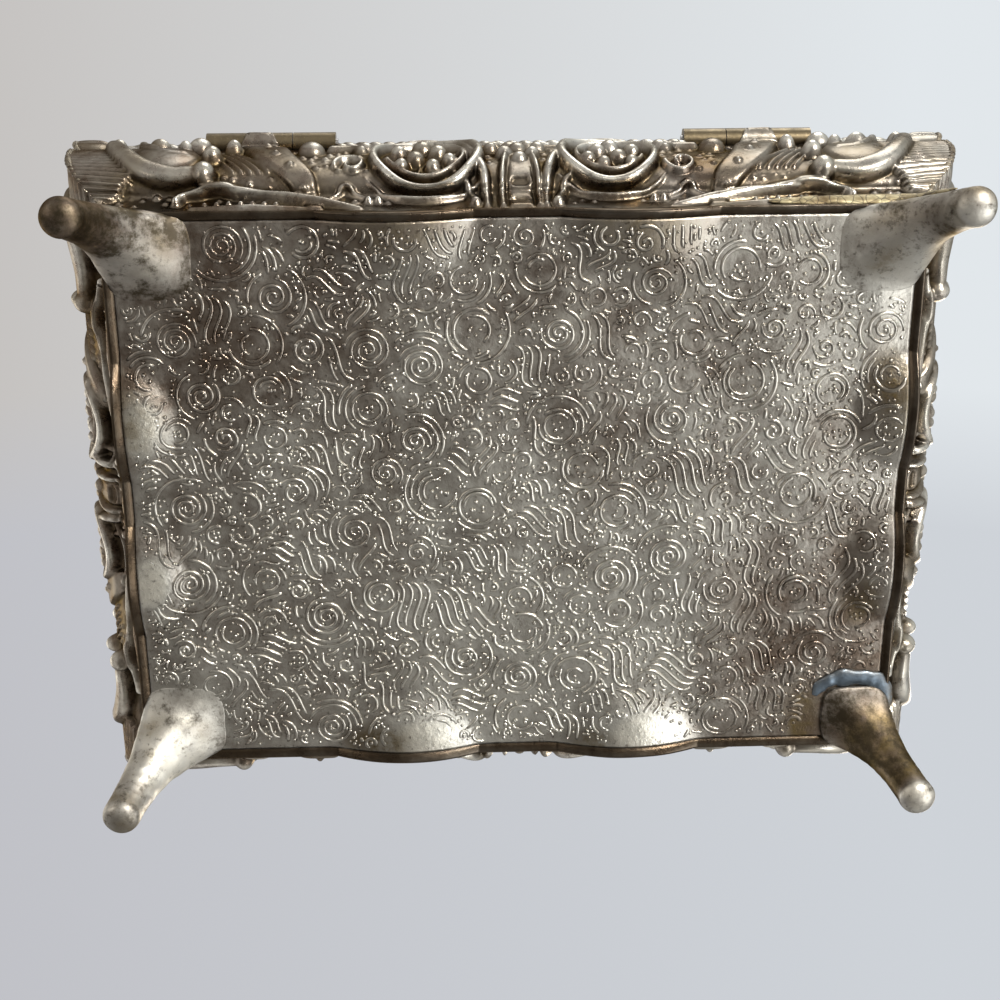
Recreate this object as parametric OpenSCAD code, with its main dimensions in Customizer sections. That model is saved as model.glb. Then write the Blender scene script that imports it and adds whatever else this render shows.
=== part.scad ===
// Footed rosary box in cast white metal: a base plate in four flared relief walls,
// four horn-shaped feet, a domed lid on two pinned hinges, and a glued-in velvet lining.
// Frame: +X along the long walls, +Y towards the hinges, +Z up, origin under the middle.

/* [Base] */
// Length of the base over the foot of the walls
base_len = 84; // [78:1:92]
// Depth of the base over the foot of the walls
base_dep = 62; // [58:1:68]
// Thickness of the base plate
plate_t = 1.5; // [1.2:0.1:1.9]
// Width of the wall's lower edge that shows round the base plate
edge_w = 0.9; // [0.7:0.1:1.1]
// How far an apron lobe hangs below the base plate
lobe_drop = 2; // [1.25:0.25:2.5]
// Half width of a lobe on the long walls
lobe_long_half = 8; // [6:0.5:9]
// Half width of a lobe on the short walls
lobe_short_half = 6.5; // [5:0.5:7]
// Distance of a long wall's lobes from its middle
lobe_long_at = 12.5; // [11:0.5:14]
// Distance of a short wall's lobes from its middle
lobe_short_at = 9; // [8:0.5:10]

/* [Feet] */
// Height of the feet under the base plate
foot_h = 11; // [9:0.5:13]
// Radius of a foot where it meets the base plate
foot_root_r = 5.5; // [4.5:0.25:6]
// Radius of a foot near its tip
foot_tip_r = 2; // [1.6:0.1:2.4]
// How far a foot's tip stands outside the corner, both ways
foot_out = 1.5; // [1:0.25:2]
// Radius of the flat that a foot stands on
foot_flat_r = 1.3; // [1:0.1:1.5]

/* [Walls] */
// Height of the walls above the underside of the base plate
wall_h = 17; // [15.5:0.5:19]
// Thickness of a wall
wall_t = 1.9; // [1.7:0.1:2.2]
// Height of the hollow cove at the foot of the wall
cove_h = 4; // [3.5:0.1:4.5]
// How far the cove leads out
cove_out = 1.1; // [1:0.1:1.4]
// Height of the wall's widest place
belt_h = 11; // [10:0.5:12]
// How far the wall leans out at its widest place
belt_out = 3.9; // [3.5:0.1:4.2]
// How far the wall leans out at its rim
rim_out = 3.3; // [2.9:0.1:3.4]
// Radius of the round bead along the rim
bead_r = 0.6; // [0.5:0.05:0.7]
// Height of the ornament over the wall
relief_h = 1.3; // [1:0.1:1.5]

/* [Ornament] */
// Outer radius of the two round scrolls on a long wall
scroll_long_r = 5.6; // [5:0.1:5.8]
// Distance of those scrolls from the middle of the wall
scroll_long_at = 8.8; // [8.6:0.1:9.6]
// Outer radius of the two round scrolls on a short wall
scroll_short_r = 4.8; // [4.4:0.1:5]
// Distance of those scrolls from the middle of the wall
scroll_short_at = 7.8; // [7.6:0.1:8.4]
// Width of a scroll's raised band
band_w = 1.3; // [1:0.1:1.5]
// Width of the strap in the middle of each wall
strap_w = 4.2; // [3.6:0.2:4.6]
// Radius of the berries in a round scroll
berry_r = 1.2; // [0.9:0.1:1.3]
// Radius of the large open scroll near each corner
end_scroll_r = 9; // [8:0.25:10]
// Distance of that scroll's outermost place from the corner
end_scroll_in = 7.5; // [7:0.25:9]
// Width of the slanting band between the round and the open scroll
slant_w = 3; // [2.4:0.2:3.4]

/* [Lid] */
// Height of the lid over its lower face
lid_rise = 9; // [8:0.5:11]
// Thickness of the lid's dome
lid_t = 1.5; // [1.2:0.1:1.8]
// Height of the lid's straight rim
lid_rim_h = 3.2; // [2.8:0.1:3.6]
// Radius of the round bead along the lid's rim
lid_bead_r = 0.9; // [0.8:0.05:1]
// Gap between the lid and the walls when closed
lid_gap = 0.2; // [0.15:0.05:0.3]
// Outer radius of the ring on the lid
lid_ring_r = 19; // [16:0.5:21]
// Length of the cross on the lid
cross_len = 22; // [18:0.5:24]
// Width of the cross's arms
cross_w = 3.4; // [2.6:0.2:4]
// Width of the thumb shell on the lid's front edge
shell_w = 12; // [10:0.5:16]
// Height of the scrollwork on the lid
lid_scroll_h = 0.45; // [0.3:0.05:0.6]
// Radius of the corner scrolls on the lid
lid_scroll_r = 3.6; // [3:0.2:4]
// Number of rays inside the lid's ring
lid_rays = 12; // [8:4:24]

/* [Hinges] */
// Place of each hinge, as a share of the base length from its middle
hinge_share = 0.31; // [0.25:0.01:0.33]
// Length of each hinge
hinge_len = 14; // [11:0.5:16]
// Radius of the hinge knuckles
knuckle_r = 1.2; // [1.1:0.05:1.3]
// Radius of the hinge pins
pin_r = 0.5; // [0.4:0.05:0.6]
// Radial play of the pin in the knuckles
pin_play = 0.05; // [0.03:0.01:0.08]
// Thickness of the hinge leaves
leaf_t = 0.5; // [0.4:0.05:0.6]

/* [Lining] */
// Thickness of the card under the floor velvet
card_t = 1; // [0.8:0.1:1.4]
// Thickness of the floor velvet
velvet_t = 1.4; // [1:0.1:2]
// Thickness of the velvet strips on the walls
strip_t = 1.2; // [0.8:0.1:1.5]
// How far the velvet strips stop below the rim
strip_short = 0.8; // [0.5:0.1:1.5]
// Thickness of the pad in the lid
lid_pad_t = 1.1; // [0.8:0.1:1.3]
// Thickness of the card that holds the lid's pad
lid_card_t = 0.8; // [0.6:0.1:1]

/* [Hidden] */
$fn = 48;

far = 200;                                   // longer than the whole box
turn_play = 0.12;                            // running gap round the knuckles
step_play = 0.1;                             // gap between neighbouring knuckles and leaves
pin_end = 0.25;                              // how far a pin shows past its outer knuckles
rim_z = foot_h + wall_h;                     // top of the walls
lid_z = rim_z + lid_gap;                     // lower face of the lid
floor_z = foot_h + plate_t;                  // top of the base plate
rim_in = rim_out - wall_t + bead_r;          // inner edge of the rim, from the foot of the wall
hinge_at = base_len * hinge_share;           // distance of each hinge from the middle
hinge_y = base_dep / 2 + rim_out + lid_bead_r;
dome_half_x = base_len / 2 + rim_out - lid_t / 5;
dome_half_y = base_dep / 2 + rim_out - lid_t / 5;
dome_z = lid_z + lid_rim_h - 0.4;            // foot of the lid's dome
dome_rise = lid_rise - lid_rim_h + 0.4;
hinge_z = rim_z + lid_gap / 2;
knuckle_len = (hinge_len - 2 * step_play) / 3;
front_reach = hinge_y + knuckle_r;           // the thumb shell reaches as far as the hinges

slant_from = 208;                            // first and last angle of the slanting band
slant_to = 262;
leaf_share = 0.165;                          // length of the lowest leaf, as a share of its wall

silver = "#a39d90";
bright_silver = "#b9b4a8";
steel = "#8c8c8c";
brass = "#b59a5b";
velvet = "#7a1626";
card = "#c9b995";

// Points of the hollow cove, from the foot of the wall to the start of its bulge.
function cove_points(steps = 6) = [
    for (i = [0 : steps]) let (a = 90 * i / steps)
        [cove_out * (1 - cos(a)), cove_h * sin(a)]
];

// Points of the bulge from the cove to the wall's widest place.
function bulge_points(steps = 6) = [
    for (i = [1 : steps]) let (a = 90 * i / steps)
        [cove_out + (belt_out - cove_out) * sin(a), belt_h - (belt_h - cove_h) * cos(a)]
];

// Outer face of a wall: first figure outwards from the foot of the wall, second upwards.
outer_points = concat(cove_points(), bulge_points(), [[rim_out, wall_h - 2 * bead_r]]);

// Inner face of a wall, moved inwards by a distance.
function inner_points(inwards, low, high) = [
    [-wall_t - inwards, low],
    [rim_in - inwards, belt_h],
    [rim_in - inwards, high]
];

// Section of a wall.
module wall_section() {
    polygon(concat(
        outer_points,
        [[rim_out, wall_h], [rim_in, wall_h], [rim_in, belt_h]],
        [[-wall_t, plate_t], [-edge_w, plate_t], [-edge_w, 0]]
    ));
    translate([rim_out, wall_h - bead_r])
        circle(bead_r);
}

// Section of the space that the ornament fills, half sunk in the wall.
module relief_section() {
    top = wall_h - 2 * bead_r;
    sunk = wall_t / 4;
    bulge = bulge_points();
    polygon(concat(
        [[cove_out / 3 - sunk, cove_h / 2], [cove_out / 3 + relief_h, cove_h / 2]],
        [[cove_out + relief_h, cove_h]],
        [for (p = bulge) p + [relief_h, 0]],
        [[rim_out + relief_h, top - relief_h], [rim_out, top], [rim_out - sunk, top]],
        [for (i = [len(bulge) - 1 : -1 : 0]) bulge[i] - [sunk, 0]],
        [[cove_out - sunk, cove_h]]
    ));
}

// Prism between the two mitre planes of a side, whose foot lies at y = -dep / 2.
module mitre_prism(len, dep) {
    reach = 3 * wall_t + belt_out;
    translate([0, 0, -far / 2])
        linear_extrude(far)
            polygon([
                [-len / 2 - reach, -dep / 2 - reach],
                [len / 2 + reach, -dep / 2 - reach],
                [len / 2 - reach, -dep / 2 + reach],
                [-len / 2 + reach, -dep / 2 + reach]
            ]);
}

// A section drawn outwards and upwards, run along the side at y = -dep / 2 and mitred.
module along_side(len, dep) {
    intersection() {
        translate([far / 2, -dep / 2, foot_h])
            rotate([90, 0, -90])
                linear_extrude(far)
                    children();
        mitre_prism(len, dep);
    }
}

// Flat ring sector: outer radius, width and the two angles between which it lies.
module arc_band(radius, width, from, to) {
    middle = (from + to) / 2;
    intersection() {
        difference() {
            circle(radius, $fn = 96);
            circle(radius - width, $fn = 96);
        }
        polygon([
            [0, 0],
            2 * radius * [cos(from), sin(from)],
            2 * radius * [cos(middle), sin(middle)],
            2 * radius * [cos(to), sin(to)]
        ]);
    }
}

// Pointed leaf between two arcs, lying along x and centred.
module leaf(length, width) {
    radius = (length * length / 4 + width * width / 4) / width;
    intersection() {
        translate([0, radius - width / 2])
            circle(radius, $fn = 96);
        translate([0, width / 2 - radius])
            circle(radius, $fn = 96);
    }
}

// One half of a wall's ornament seen from outside, from its middle to the right.
module ornament_half(len, ring_at, ring_r) {
    middle_z = (cove_h + wall_h) / 2 - 0.7;
    open_x = len / 2 - end_scroll_in - end_scroll_r;
    open_z = wall_h - 2 * bead_r - 0.5;
    slant_x = (ring_at + ring_r + open_x) / 2;
    translate([ring_at, middle_z])
        difference() {
            circle(ring_r);
            circle(ring_r - band_w);
        }
    translate([open_x, open_z])
        arc_band(end_scroll_r, band_w * 1.5, -90, -5);
    translate([open_x + end_scroll_r * 0.25, open_z - end_scroll_r * 0.3])
        circle(berry_r * 1.6);
    translate([slant_x + slant_w, wall_h + slant_w])
        arc_band(wall_h - slant_w / 2, slant_w, slant_from, slant_to);
    translate([slant_x + slant_w * 0.8, cove_h * 0.95])
        leaf(len * leaf_share, slant_w * 0.85);
}

// All the ornament of the wall at y = -dep / 2.
module wall_ornament(len, dep, ring_at, ring_r) {
    middle_z = (cove_h + wall_h) / 2 - 0.7;
    hole = strap_w * 0.3;
    intersection() {
        along_side(len, dep)
            relief_section();
        translate([0, 0, foot_h])
            rotate([90, 0, 0])
                linear_extrude(far) {
                    difference() {
                        translate([-strap_w / 2, 0])
                            square([strap_w, wall_h * 0.6]);
                        for (i = [0, 1])
                            translate([-hole / 2, cove_h + (hole * 2.2) * i])
                                square(hole);
                    }
                    ornament_half(len, ring_at, ring_r);
                    mirror([1, 0])
                        ornament_half(len, ring_at, ring_r);
                }
    }
    for (side = [-1, 1], i = [0 : 3])
        translate([
            side * ring_at + berry_r * 1.3 * cos(90 * i + 45),
            -dep / 2 - belt_out + 0.1,
            foot_h + middle_z + berry_r * 1.3 * sin(90 * i + 45)
        ])
            sphere(berry_r, $fn = 24);
}

// Lobes of the apron, hanging from the lower edge of the side at y = -dep / 2.
module apron_lobes(dep, lobe_at, lobe_half) {
    radius = (pow(lobe_half, 2) + pow(lobe_drop, 2)) / (2 * lobe_drop);
    intersection() {
        for (side = [-1, 1])
            translate([side * lobe_at, -dep / 2 + edge_w, foot_h - lobe_drop + radius])
                rotate([90, 0, 0])
                    cylinder(r = radius, h = edge_w, $fn = 96);
        translate([-far / 2, -far / 2, foot_h - lobe_drop - 1])
            cube([far, far, lobe_drop + 1]);
    }
}

// One relief wall, standing at y = -dep / 2.
module wall(len, dep, lobe_at, lobe_half, ring_at, ring_r) {
    color(silver) {
        along_side(len, dep)
            wall_section();
        wall_ornament(len, dep, ring_at, ring_r);
        apron_lobes(dep, lobe_at, lobe_half);
    }
}

// Room for the hinge in the back wall and in the lid: barrel, and leaf above and below.
module hinge_room(side) {
    gap = turn_play;
    translate([side * hinge_at - hinge_len / 2 - gap, hinge_y, hinge_z])
        rotate([0, 90, 0])
            cylinder(r = knuckle_r + gap, h = hinge_len + 2 * gap);
    translate([
        side * hinge_at - hinge_len / 2 - gap,
        base_dep / 2 + rim_in - 1,
        hinge_z - step_play / 2 - leaf_t
    ])
        cube([hinge_len + 2 * gap, hinge_y - base_dep / 2 - rim_in + 1, 2 * leaf_t + step_play]);
}

module base_plate() {
    length = base_len - 2 * edge_w;
    depth = base_dep - 2 * edge_w;
    color(silver) {
        translate([-length / 2, -depth / 2, foot_h])
            cube([length, depth, plate_t]);
        plate_lobes(length, depth, lobe_long_at, lobe_long_half);
        rotate(90)
            plate_lobes(depth, length, lobe_short_at, lobe_short_half);
    }
}

// Shallow swellings under the plate that lead its surface down to the apron lobes.
module plate_lobes(length, depth, lobe_at, lobe_half) {
    radius = (pow(lobe_half, 2) + pow(lobe_drop, 2)) / (2 * lobe_drop);
    intersection() {
        for (side = [-1, 1], end = [-1, 1])
            translate([side * lobe_at, end * depth / 2, foot_h - lobe_drop + radius])
                sphere(radius, $fn = 96);
        translate([-length / 2, -depth / 2, foot_h - lobe_drop - 1])
            cube([length, depth, lobe_drop + 1 + plate_t / 2]);
    }
}

module long_wall() {
    wall(base_len, base_dep, lobe_long_at, lobe_long_half, scroll_long_at, scroll_long_r);
}

module short_wall() {
    wall(base_dep, base_len, lobe_short_at, lobe_short_half, scroll_short_at, scroll_short_r);
}

module wall_front() { long_wall(); }
module wall_right() { rotate(90) short_wall(); }
module wall_left() { rotate(-90) short_wall(); }

module wall_back() {
    difference() {
        rotate(180)
            long_wall();
        for (side = [-1, 1])
            hinge_room(side);
    }
}

// Radius of a foot at a share of its height, from root 0 to tip 1.
function foot_r(t) = foot_tip_r + (foot_root_r - foot_tip_r) * pow(1 - t, 2.4);
// Place of a foot's middle at that share, outwards from the corner both ways.
function foot_mid(t) =
    let (root = -3.5 / 5.5 * foot_root_r)
    root + (foot_out - root) * pow(t, 0.62);
// Outermost reach at that share: level with the walls at the root.
function foot_reach(t) = (foot_out + foot_tip_r) * pow(t, 0.85);
// Step outwards or inwards from the foot's middle, flattened where it would pass that reach.
function foot_step(t, r, part) =
    foot_mid(t) + part * (part > 0 ? min(r, foot_reach(t) - foot_mid(t)) : r);
// One ring of a foot, in the corner's own directions.
function foot_ring(t, z, r, sides) = [
    for (i = [0 : sides - 1]) let (a = 360 * (i + 0.5) / sides)
        [foot_step(t, r, cos(a)), foot_step(t, r, sin(a)), z]
];

// Horn-shaped foot under the corner at [base_len / 2, base_dep / 2].
module foot(x_side, y_side) {
    rings = 12;
    sides = 28;
    flat_h = 0.5;
    body_h = foot_h - flat_h;
    points = concat(
        [
            for (k = [0 : rings]) let (t = k / rings)
                each foot_ring(t, foot_h - body_h * 0.92 * t, foot_r(t), sides)
        ],
        foot_ring(1, flat_h, (foot_tip_r + foot_flat_r) / 2, sides)
    );
    last = rings + 1;
    faces = concat(
        [[for (i = [sides - 1 : -1 : 0]) i]],
        [[for (i = [0 : sides - 1]) last * sides + i]],
        [
            for (k = [0 : last - 1], i = [0 : sides - 1])
                let (j = (i + 1) % sides)
                    [k * sides + i, k * sides + j, (k + 1) * sides + j, (k + 1) * sides + i]
        ]
    );
    color(bright_silver)
        mirror([x_side < 0 ? 1 : 0, 0, 0])
            mirror([0, y_side < 0 ? 1 : 0, 0])
                translate([base_len / 2, base_dep / 2, 0]) {
                    polyhedron(points, faces, convexity = 4);
                    translate([foot_out, foot_out, 0])
                        cylinder(r = foot_flat_r, h = flat_h + 0.5);
                }
}

module foot_front_left() { foot(-1, -1); }
module foot_front_right() { foot(1, -1); }
module foot_back_left() { foot(-1, 1); }
module foot_back_right() { foot(1, 1); }

// Half sizes of the floor inside the velvet strips.
floor_half_x = base_len / 2 - wall_t - strip_t;
floor_half_y = base_dep / 2 - wall_t - strip_t;

module floor_card() {
    color(card)
        translate([-floor_half_x, -floor_half_y, floor_z])
            cube([2 * floor_half_x, 2 * floor_half_y, card_t]);
}

module floor_velvet() {
    color(velvet)
        translate([-floor_half_x, -floor_half_y, floor_z + card_t])
            cube([2 * floor_half_x, 2 * floor_half_y, velvet_t]);
}

// Velvet strip glued to the inner face of the wall at y = -dep / 2.
module velvet_strip(len, dep) {
    top = wall_h - strip_short;
    near = inner_points(0, plate_t, top);
    clear = inner_points(strip_t, plate_t, top);
    color(velvet)
        along_side(len, dep)
            polygon(concat(near, [for (i = [2 : -1 : 0]) clear[i]]));
}

module velvet_strip_front() { velvet_strip(base_len, base_dep); }
module velvet_strip_back() { rotate(180) velvet_strip(base_len, base_dep); }
module velvet_strip_right() { rotate(90) velvet_strip(base_dep, base_len); }
module velvet_strip_left() { rotate(-90) velvet_strip(base_dep, base_len); }

// Points of a low arch over its chord, which lies at height z.
function arch_points(half, z, rise, steps = 28) =
    let (
        radius = (half * half + rise * rise) / (2 * rise),
        reach = asin(half / radius)
    )
    [
        for (i = [0 : steps]) let (a = reach * (1 - 2 * i / steps))
            [radius * sin(a), z + rise - radius * (1 - cos(a))]
    ];

// Pillow shape under two crossing arches, with its foot at height z.
module pillow(half_x, half_y, z, rise) {
    intersection() {
        rotate([90, 0, 0])
            linear_extrude(2 * half_y, center = true)
                polygon(arch_points(half_x, z, rise));
        rotate([90, 0, 90])
            linear_extrude(2 * half_x, center = true)
                polygon(arch_points(half_y, z, rise));
    }
}

// Straight band of the lid with a round bead along its lower edge and a pearl at each corner.
module lid_rim() {
    reach_x = base_len / 2 + rim_out;
    reach_y = base_dep / 2 + rim_out;
    translate([-reach_x, -reach_y, lid_z])
        cube([2 * reach_x, 2 * reach_y, lid_rim_h]);
    translate([0, 0, lid_z + lid_bead_r])
        for (side = [-1, 1]) {
            translate([-reach_x, side * reach_y, 0])
                rotate([0, 90, 0])
                    cylinder(r = lid_bead_r, h = 2 * reach_x);
            translate([side * reach_x, -reach_y, 0])
                rotate([-90, 0, 0])
                    cylinder(r = lid_bead_r, h = 2 * reach_y);
            for (end = [-1, 1])
                translate([side * reach_x, end * reach_y, 0.1])
                    sphere(lid_bead_r * 1.1, $fn = 32);
        }
}

// Ring and cross that stand on the dome.
module lid_ornament() {
    top = lid_z + lid_rise;
    deep = lid_rise / 2;
    translate([0, 0, top - deep])
        difference() {
            cylinder(r = lid_ring_r, h = deep, $fn = 96);
            translate([0, 0, -1])
                cylinder(r = lid_ring_r - band_w, h = deep + 2, $fn = 96);
        }
    translate([-cross_w / 2, -cross_len * 0.58, top - 2])
        cube([cross_w, cross_len, 2 + relief_h / 2]);
    translate([-cross_len * 0.32, cross_len * 0.14, top - 2])
        cube([cross_len * 0.64, cross_w, 2 + relief_h / 2]);
}

// Radius of the arch over a half span, and its height at a distance from the middle.
function arch_radius(half, rise) = (half * half + rise * rise) / (2 * rise);
function arch_z(v, half) =
    let (radius = arch_radius(half, dome_rise))
    dome_z + dome_rise - radius + sqrt(radius * radius - v * v);
function dome_at(at) = min(arch_z(at[0], dome_half_x), arch_z(at[1], dome_half_y));

// Low part that stands square on the dome at a place of the plan.
module on_dome(at) {
    along_x = arch_z(at[0], dome_half_x) < arch_z(at[1], dome_half_y);
    tilt_x = asin(at[0] / arch_radius(dome_half_x, dome_rise));
    tilt_y = asin(at[1] / arch_radius(dome_half_y, dome_rise));
    translate([at[0], at[1], dome_at(at) - 0.7])
        rotate(along_x ? [0, tilt_x, 0] : [-tilt_y, 0, 0])
            children();
}

// Ring scroll on the lid.
module lid_scroll(at, r, width) {
    on_dome(at)
        difference() {
            cylinder(r = r + width / 2, h = 0.7 + lid_scroll_h, $fn = 32);
            translate([0, 0, -1])
                cylinder(r = r - width / 2, h = 3, $fn = 32);
        }
}

// Straight bar on the lid from one place of the plan to another.
module lid_bar(from, to, width) {
    run = to - from;
    fall = dome_at(to) - dome_at(from);
    flat = norm(run);
    translate([from[0], from[1], dome_at(from)])
        rotate([0, -atan2(fall, flat), atan2(run[1], run[0])])
            translate([0, -width / 2, -0.7])
                cube([norm([flat, fall]), width, 0.7 + lid_scroll_h]);
}

// Scrollwork of the lid: a border, four corner groups, side bosses and rays inside the ring.
module lid_scrolls() {
    x = base_len / 2;
    y = base_dep / 2;
    line = lid_scroll_r / 3;
    for (side = [-1, 1]) {
        on_dome([0, side * (y - 1.9)])
            translate([-x + 0.4, -1.5, 0])
                cube([2 * x - 0.8, 3, 0.7 + lid_scroll_h]);
        on_dome([side * (x - 1.9), 0])
            translate([-1.5, -y + 0.4, 0])
                cube([3, 2 * y - 0.8, 0.7 + lid_scroll_h]);
        lid_scroll([side * (x - 6.6), 0], 1.9, 1.4);
        lid_scroll([0, side * (y - 6.4)], 1.9, 1.4);
    }
    for (sx = [-1, 1], sy = [-1, 1]) {
        lid_scroll([sx * (x - 9.6), sy * (y - 9.4)], lid_scroll_r, line);
        lid_scroll([sx * (x - 10.4), sy * (y - 23.4)], lid_scroll_r * 0.65, line);
        lid_scroll([sx * (x - 27.4), sy * (y - 9)], lid_scroll_r * 0.65, line);
        lid_bar([sx * (x - 14.6), sy * (y - 7.6)], [sx * (x - 23.6), sy * (y - 6.4)], line);
        lid_bar([sx * (x - 6.6), sy * (y - 14)], [sx * (x - 6.4), sy * (y - 21.8)], line);
        lid_bar([sx * (x - 14), sy * (y - 17)], [sx * (x - 16), sy * (y - 28)], line);
    }
    for (k = [0 : lid_rays - 1]) let (a = (k + 0.5) * 360 / lid_rays)
        lid_bar(
            lid_ring_r * 0.4 * [cos(a), sin(a)],
            lid_ring_r * 0.87 * [cos(a), sin(a)], line / 2
        );
}

// Shell at the front edge of the lid, for the thumb.
module thumb_shell() {
    intersection() {
        translate([0, shell_w / 2 - front_reach, lid_z + lid_bead_r])
            cylinder(r = shell_w / 2, h = lid_rim_h - lid_bead_r + 0.6, $fn = 64);
        translate([-far / 2, -far - base_dep / 2 - rim_in, 0])
            cube([far, far, far]);
    }
}

module lid_shell() {
    ceiling_z = lid_z + lid_pad_t + lid_card_t + 0.3;
    color(bright_silver)
        difference() {
            union() {
                lid_rim();
                pillow(dome_half_x, dome_half_y, dome_z, dome_rise);
                lid_scrolls();
                lid_ornament();
                thumb_shell();
            }
            pillow(
                dome_half_x - 2 * lid_t, dome_half_y - 2 * lid_t,
                ceiling_z - 0.05, dome_rise - lid_t + dome_z - ceiling_z
            );
            translate([-base_len / 2 - rim_in, -base_dep / 2 - rim_in, lid_z - 1])
                cube([base_len + 2 * rim_in, base_dep + 2 * rim_in, ceiling_z - lid_z + 1]);
            for (side = [-1, 1])
                hinge_room(side);
        }
}

// Half sizes of the opening inside the lid's rim.
lid_half_x = base_len / 2 + rim_in;
lid_half_y = base_dep / 2 + rim_in;

module lid_card() {
    color(card)
        translate([-lid_half_x, -lid_half_y, lid_z + 0.1 + lid_pad_t])
            cube([2 * lid_half_x, 2 * lid_half_y, lid_card_t]);
}

module lid_pad() {
    color(velvet)
        translate([-lid_half_x, -lid_half_y, lid_z + 0.1])
            cube([2 * lid_half_x, 2 * lid_half_y, lid_pad_t]);
}

// Length of barrel along x, from a place in the hinge's own length.
module barrel(from, length, radius) {
    translate([from - hinge_len / 2, hinge_y, hinge_z])
        rotate([0, 90, 0])
            cylinder(r = radius, h = length, $fn = 36);
}

// Leaf plate of one hinge, with its lower face at height z.
module leaf_plate(from, length, z, reach) {
    inner = base_dep / 2 + rim_in;
    translate([from - hinge_len / 2, inner, z])
        cube([length, reach - inner, leaf_t]);
}

module hinge_leaf_body(side) {
    z = hinge_z - step_play / 2 - leaf_t;
    color(brass)
        translate([side * hinge_at, 0, 0])
            difference() {
                union() {
                    leaf_plate(0, hinge_len, z, hinge_y - knuckle_r - turn_play);
                    for (from = [0, hinge_len - knuckle_len]) {
                        leaf_plate(from, knuckle_len, z, hinge_y);
                        barrel(from, knuckle_len, knuckle_r);
                    }
                }
                barrel(-1, hinge_len + 2, pin_r + pin_play);
            }
}

module hinge_leaf_lid(side) {
    z = hinge_z + step_play / 2;
    from = knuckle_len + step_play;
    color(brass)
        translate([side * hinge_at, 0, 0])
            difference() {
                union() {
                    leaf_plate(0, hinge_len, z, hinge_y - knuckle_r - turn_play);
                    leaf_plate(from, knuckle_len, z, hinge_y);
                    barrel(from, knuckle_len, knuckle_r);
                }
                barrel(-1, hinge_len + 2, pin_r + pin_play);
            }
}

module hinge_pin(side) {
    color(steel)
        translate([side * hinge_at, 0, 0])
            barrel(-pin_end, hinge_len + 2 * pin_end, pin_r);
}

module hinge_leaf_body_left() { hinge_leaf_body(-1); }
module hinge_leaf_body_right() { hinge_leaf_body(1); }
module hinge_leaf_lid_left() { hinge_leaf_lid(-1); }
module hinge_leaf_lid_right() { hinge_leaf_lid(1); }
module hinge_pin_left() { hinge_pin(-1); }
module hinge_pin_right() { hinge_pin(1); }

base_plate();
wall_front();
wall_back();
wall_left();
wall_right();
foot_front_left();
foot_front_right();
foot_back_left();
foot_back_right();
floor_card();
floor_velvet();
velvet_strip_front();
velvet_strip_back();
velvet_strip_left();
velvet_strip_right();
lid_shell();
lid_card();
lid_pad();
hinge_leaf_body_left();
hinge_leaf_body_right();
hinge_leaf_lid_left();
hinge_leaf_lid_right();
hinge_pin_left();
hinge_pin_right();
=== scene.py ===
import math

import bpy
import numpy as np
from bpy.props import FloatProperty, FloatVectorProperty, IntProperty, PointerProperty
from mathutils import Matrix, Vector


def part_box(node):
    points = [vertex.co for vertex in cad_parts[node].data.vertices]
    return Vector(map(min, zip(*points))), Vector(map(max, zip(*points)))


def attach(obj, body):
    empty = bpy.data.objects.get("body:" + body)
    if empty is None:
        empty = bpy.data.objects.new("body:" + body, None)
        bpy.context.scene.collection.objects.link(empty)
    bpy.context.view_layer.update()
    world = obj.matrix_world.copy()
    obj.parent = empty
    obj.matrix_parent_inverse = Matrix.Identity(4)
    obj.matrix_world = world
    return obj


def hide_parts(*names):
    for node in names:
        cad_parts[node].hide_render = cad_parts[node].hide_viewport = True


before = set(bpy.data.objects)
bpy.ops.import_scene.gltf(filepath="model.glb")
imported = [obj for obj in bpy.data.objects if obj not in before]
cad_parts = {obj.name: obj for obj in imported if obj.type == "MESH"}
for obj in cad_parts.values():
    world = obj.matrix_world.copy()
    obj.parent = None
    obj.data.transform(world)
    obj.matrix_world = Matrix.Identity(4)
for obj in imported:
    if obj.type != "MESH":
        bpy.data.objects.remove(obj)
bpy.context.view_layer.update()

bl_info = {
    "name": "Rosary Box",
    "version": (1, 0, 0),
    "blender": (4, 5, 0),
    "location": "View3D > Sidebar > Rosary Box",
    "description": "Cast silvered box on horn feet, with scroll relief and a velvet lining",
    "category": "Object",
}

MM = 0.001

# Places that the packed model fixes, in millimetres.
PLATE = np.array(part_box("base_plate")) / MM
HALF_X, HALF_Y = 42.0, 31.0
UNDERSIDE = 11.0
WALL_TOP = 17.0
HINGE_Y, HINGE_Z = 35.2, 28.1
HINGE_AT, HINGE_HALF = 26.04, 7.25
LOBES_LONG = (12.5, 8.0)
LOBES_SHORT = (9.0, 6.5)
LOBE_DROP = 2.0
LID_X, LID_Y = 45.0, 34.0
CORNERS = ((1, 1), (-1, 1), (-1, -1), (1, -1))


# ---------------------------------------------------------------- sizes and colours

def length(name, description, default_mm):
    return FloatProperty(name=name, description=description, default=default_mm * MM,
                         min=0.0, precision=5, unit="LENGTH")


def colour(name, description, default):
    return FloatVectorProperty(name=name, description=description, default=default,
                               size=3, min=0.0, max=1.0, subtype="COLOR")


class RosaryBoxSizes(bpy.types.PropertyGroup):
    relief: length("Relief height", "How far the wall scrolls stand out from the wall", 1.3)
    line_width: length("Line width", "Width of the fine raised lines of the underside", 0.36)
    line_height: length("Line height", "Height of the fine raised lines of the underside", 0.2)
    pearl: length("Pearl radius", "Radius of the small pearls between the lines", 0.23)
    foot_tip: length("Foot tip", "Radius of a foot just above its flat end", 1.8)
    seam: length("Corner seam", "Radius of the soldered seam along each corner", 0.26)
    lid_relief: length("Lid relief", "Height of the scrollwork on the lid", 0.5)
    seed: IntProperty(name="Pattern seed", description="Starts the draws of the line pattern",
                      default=11, min=0)


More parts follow.
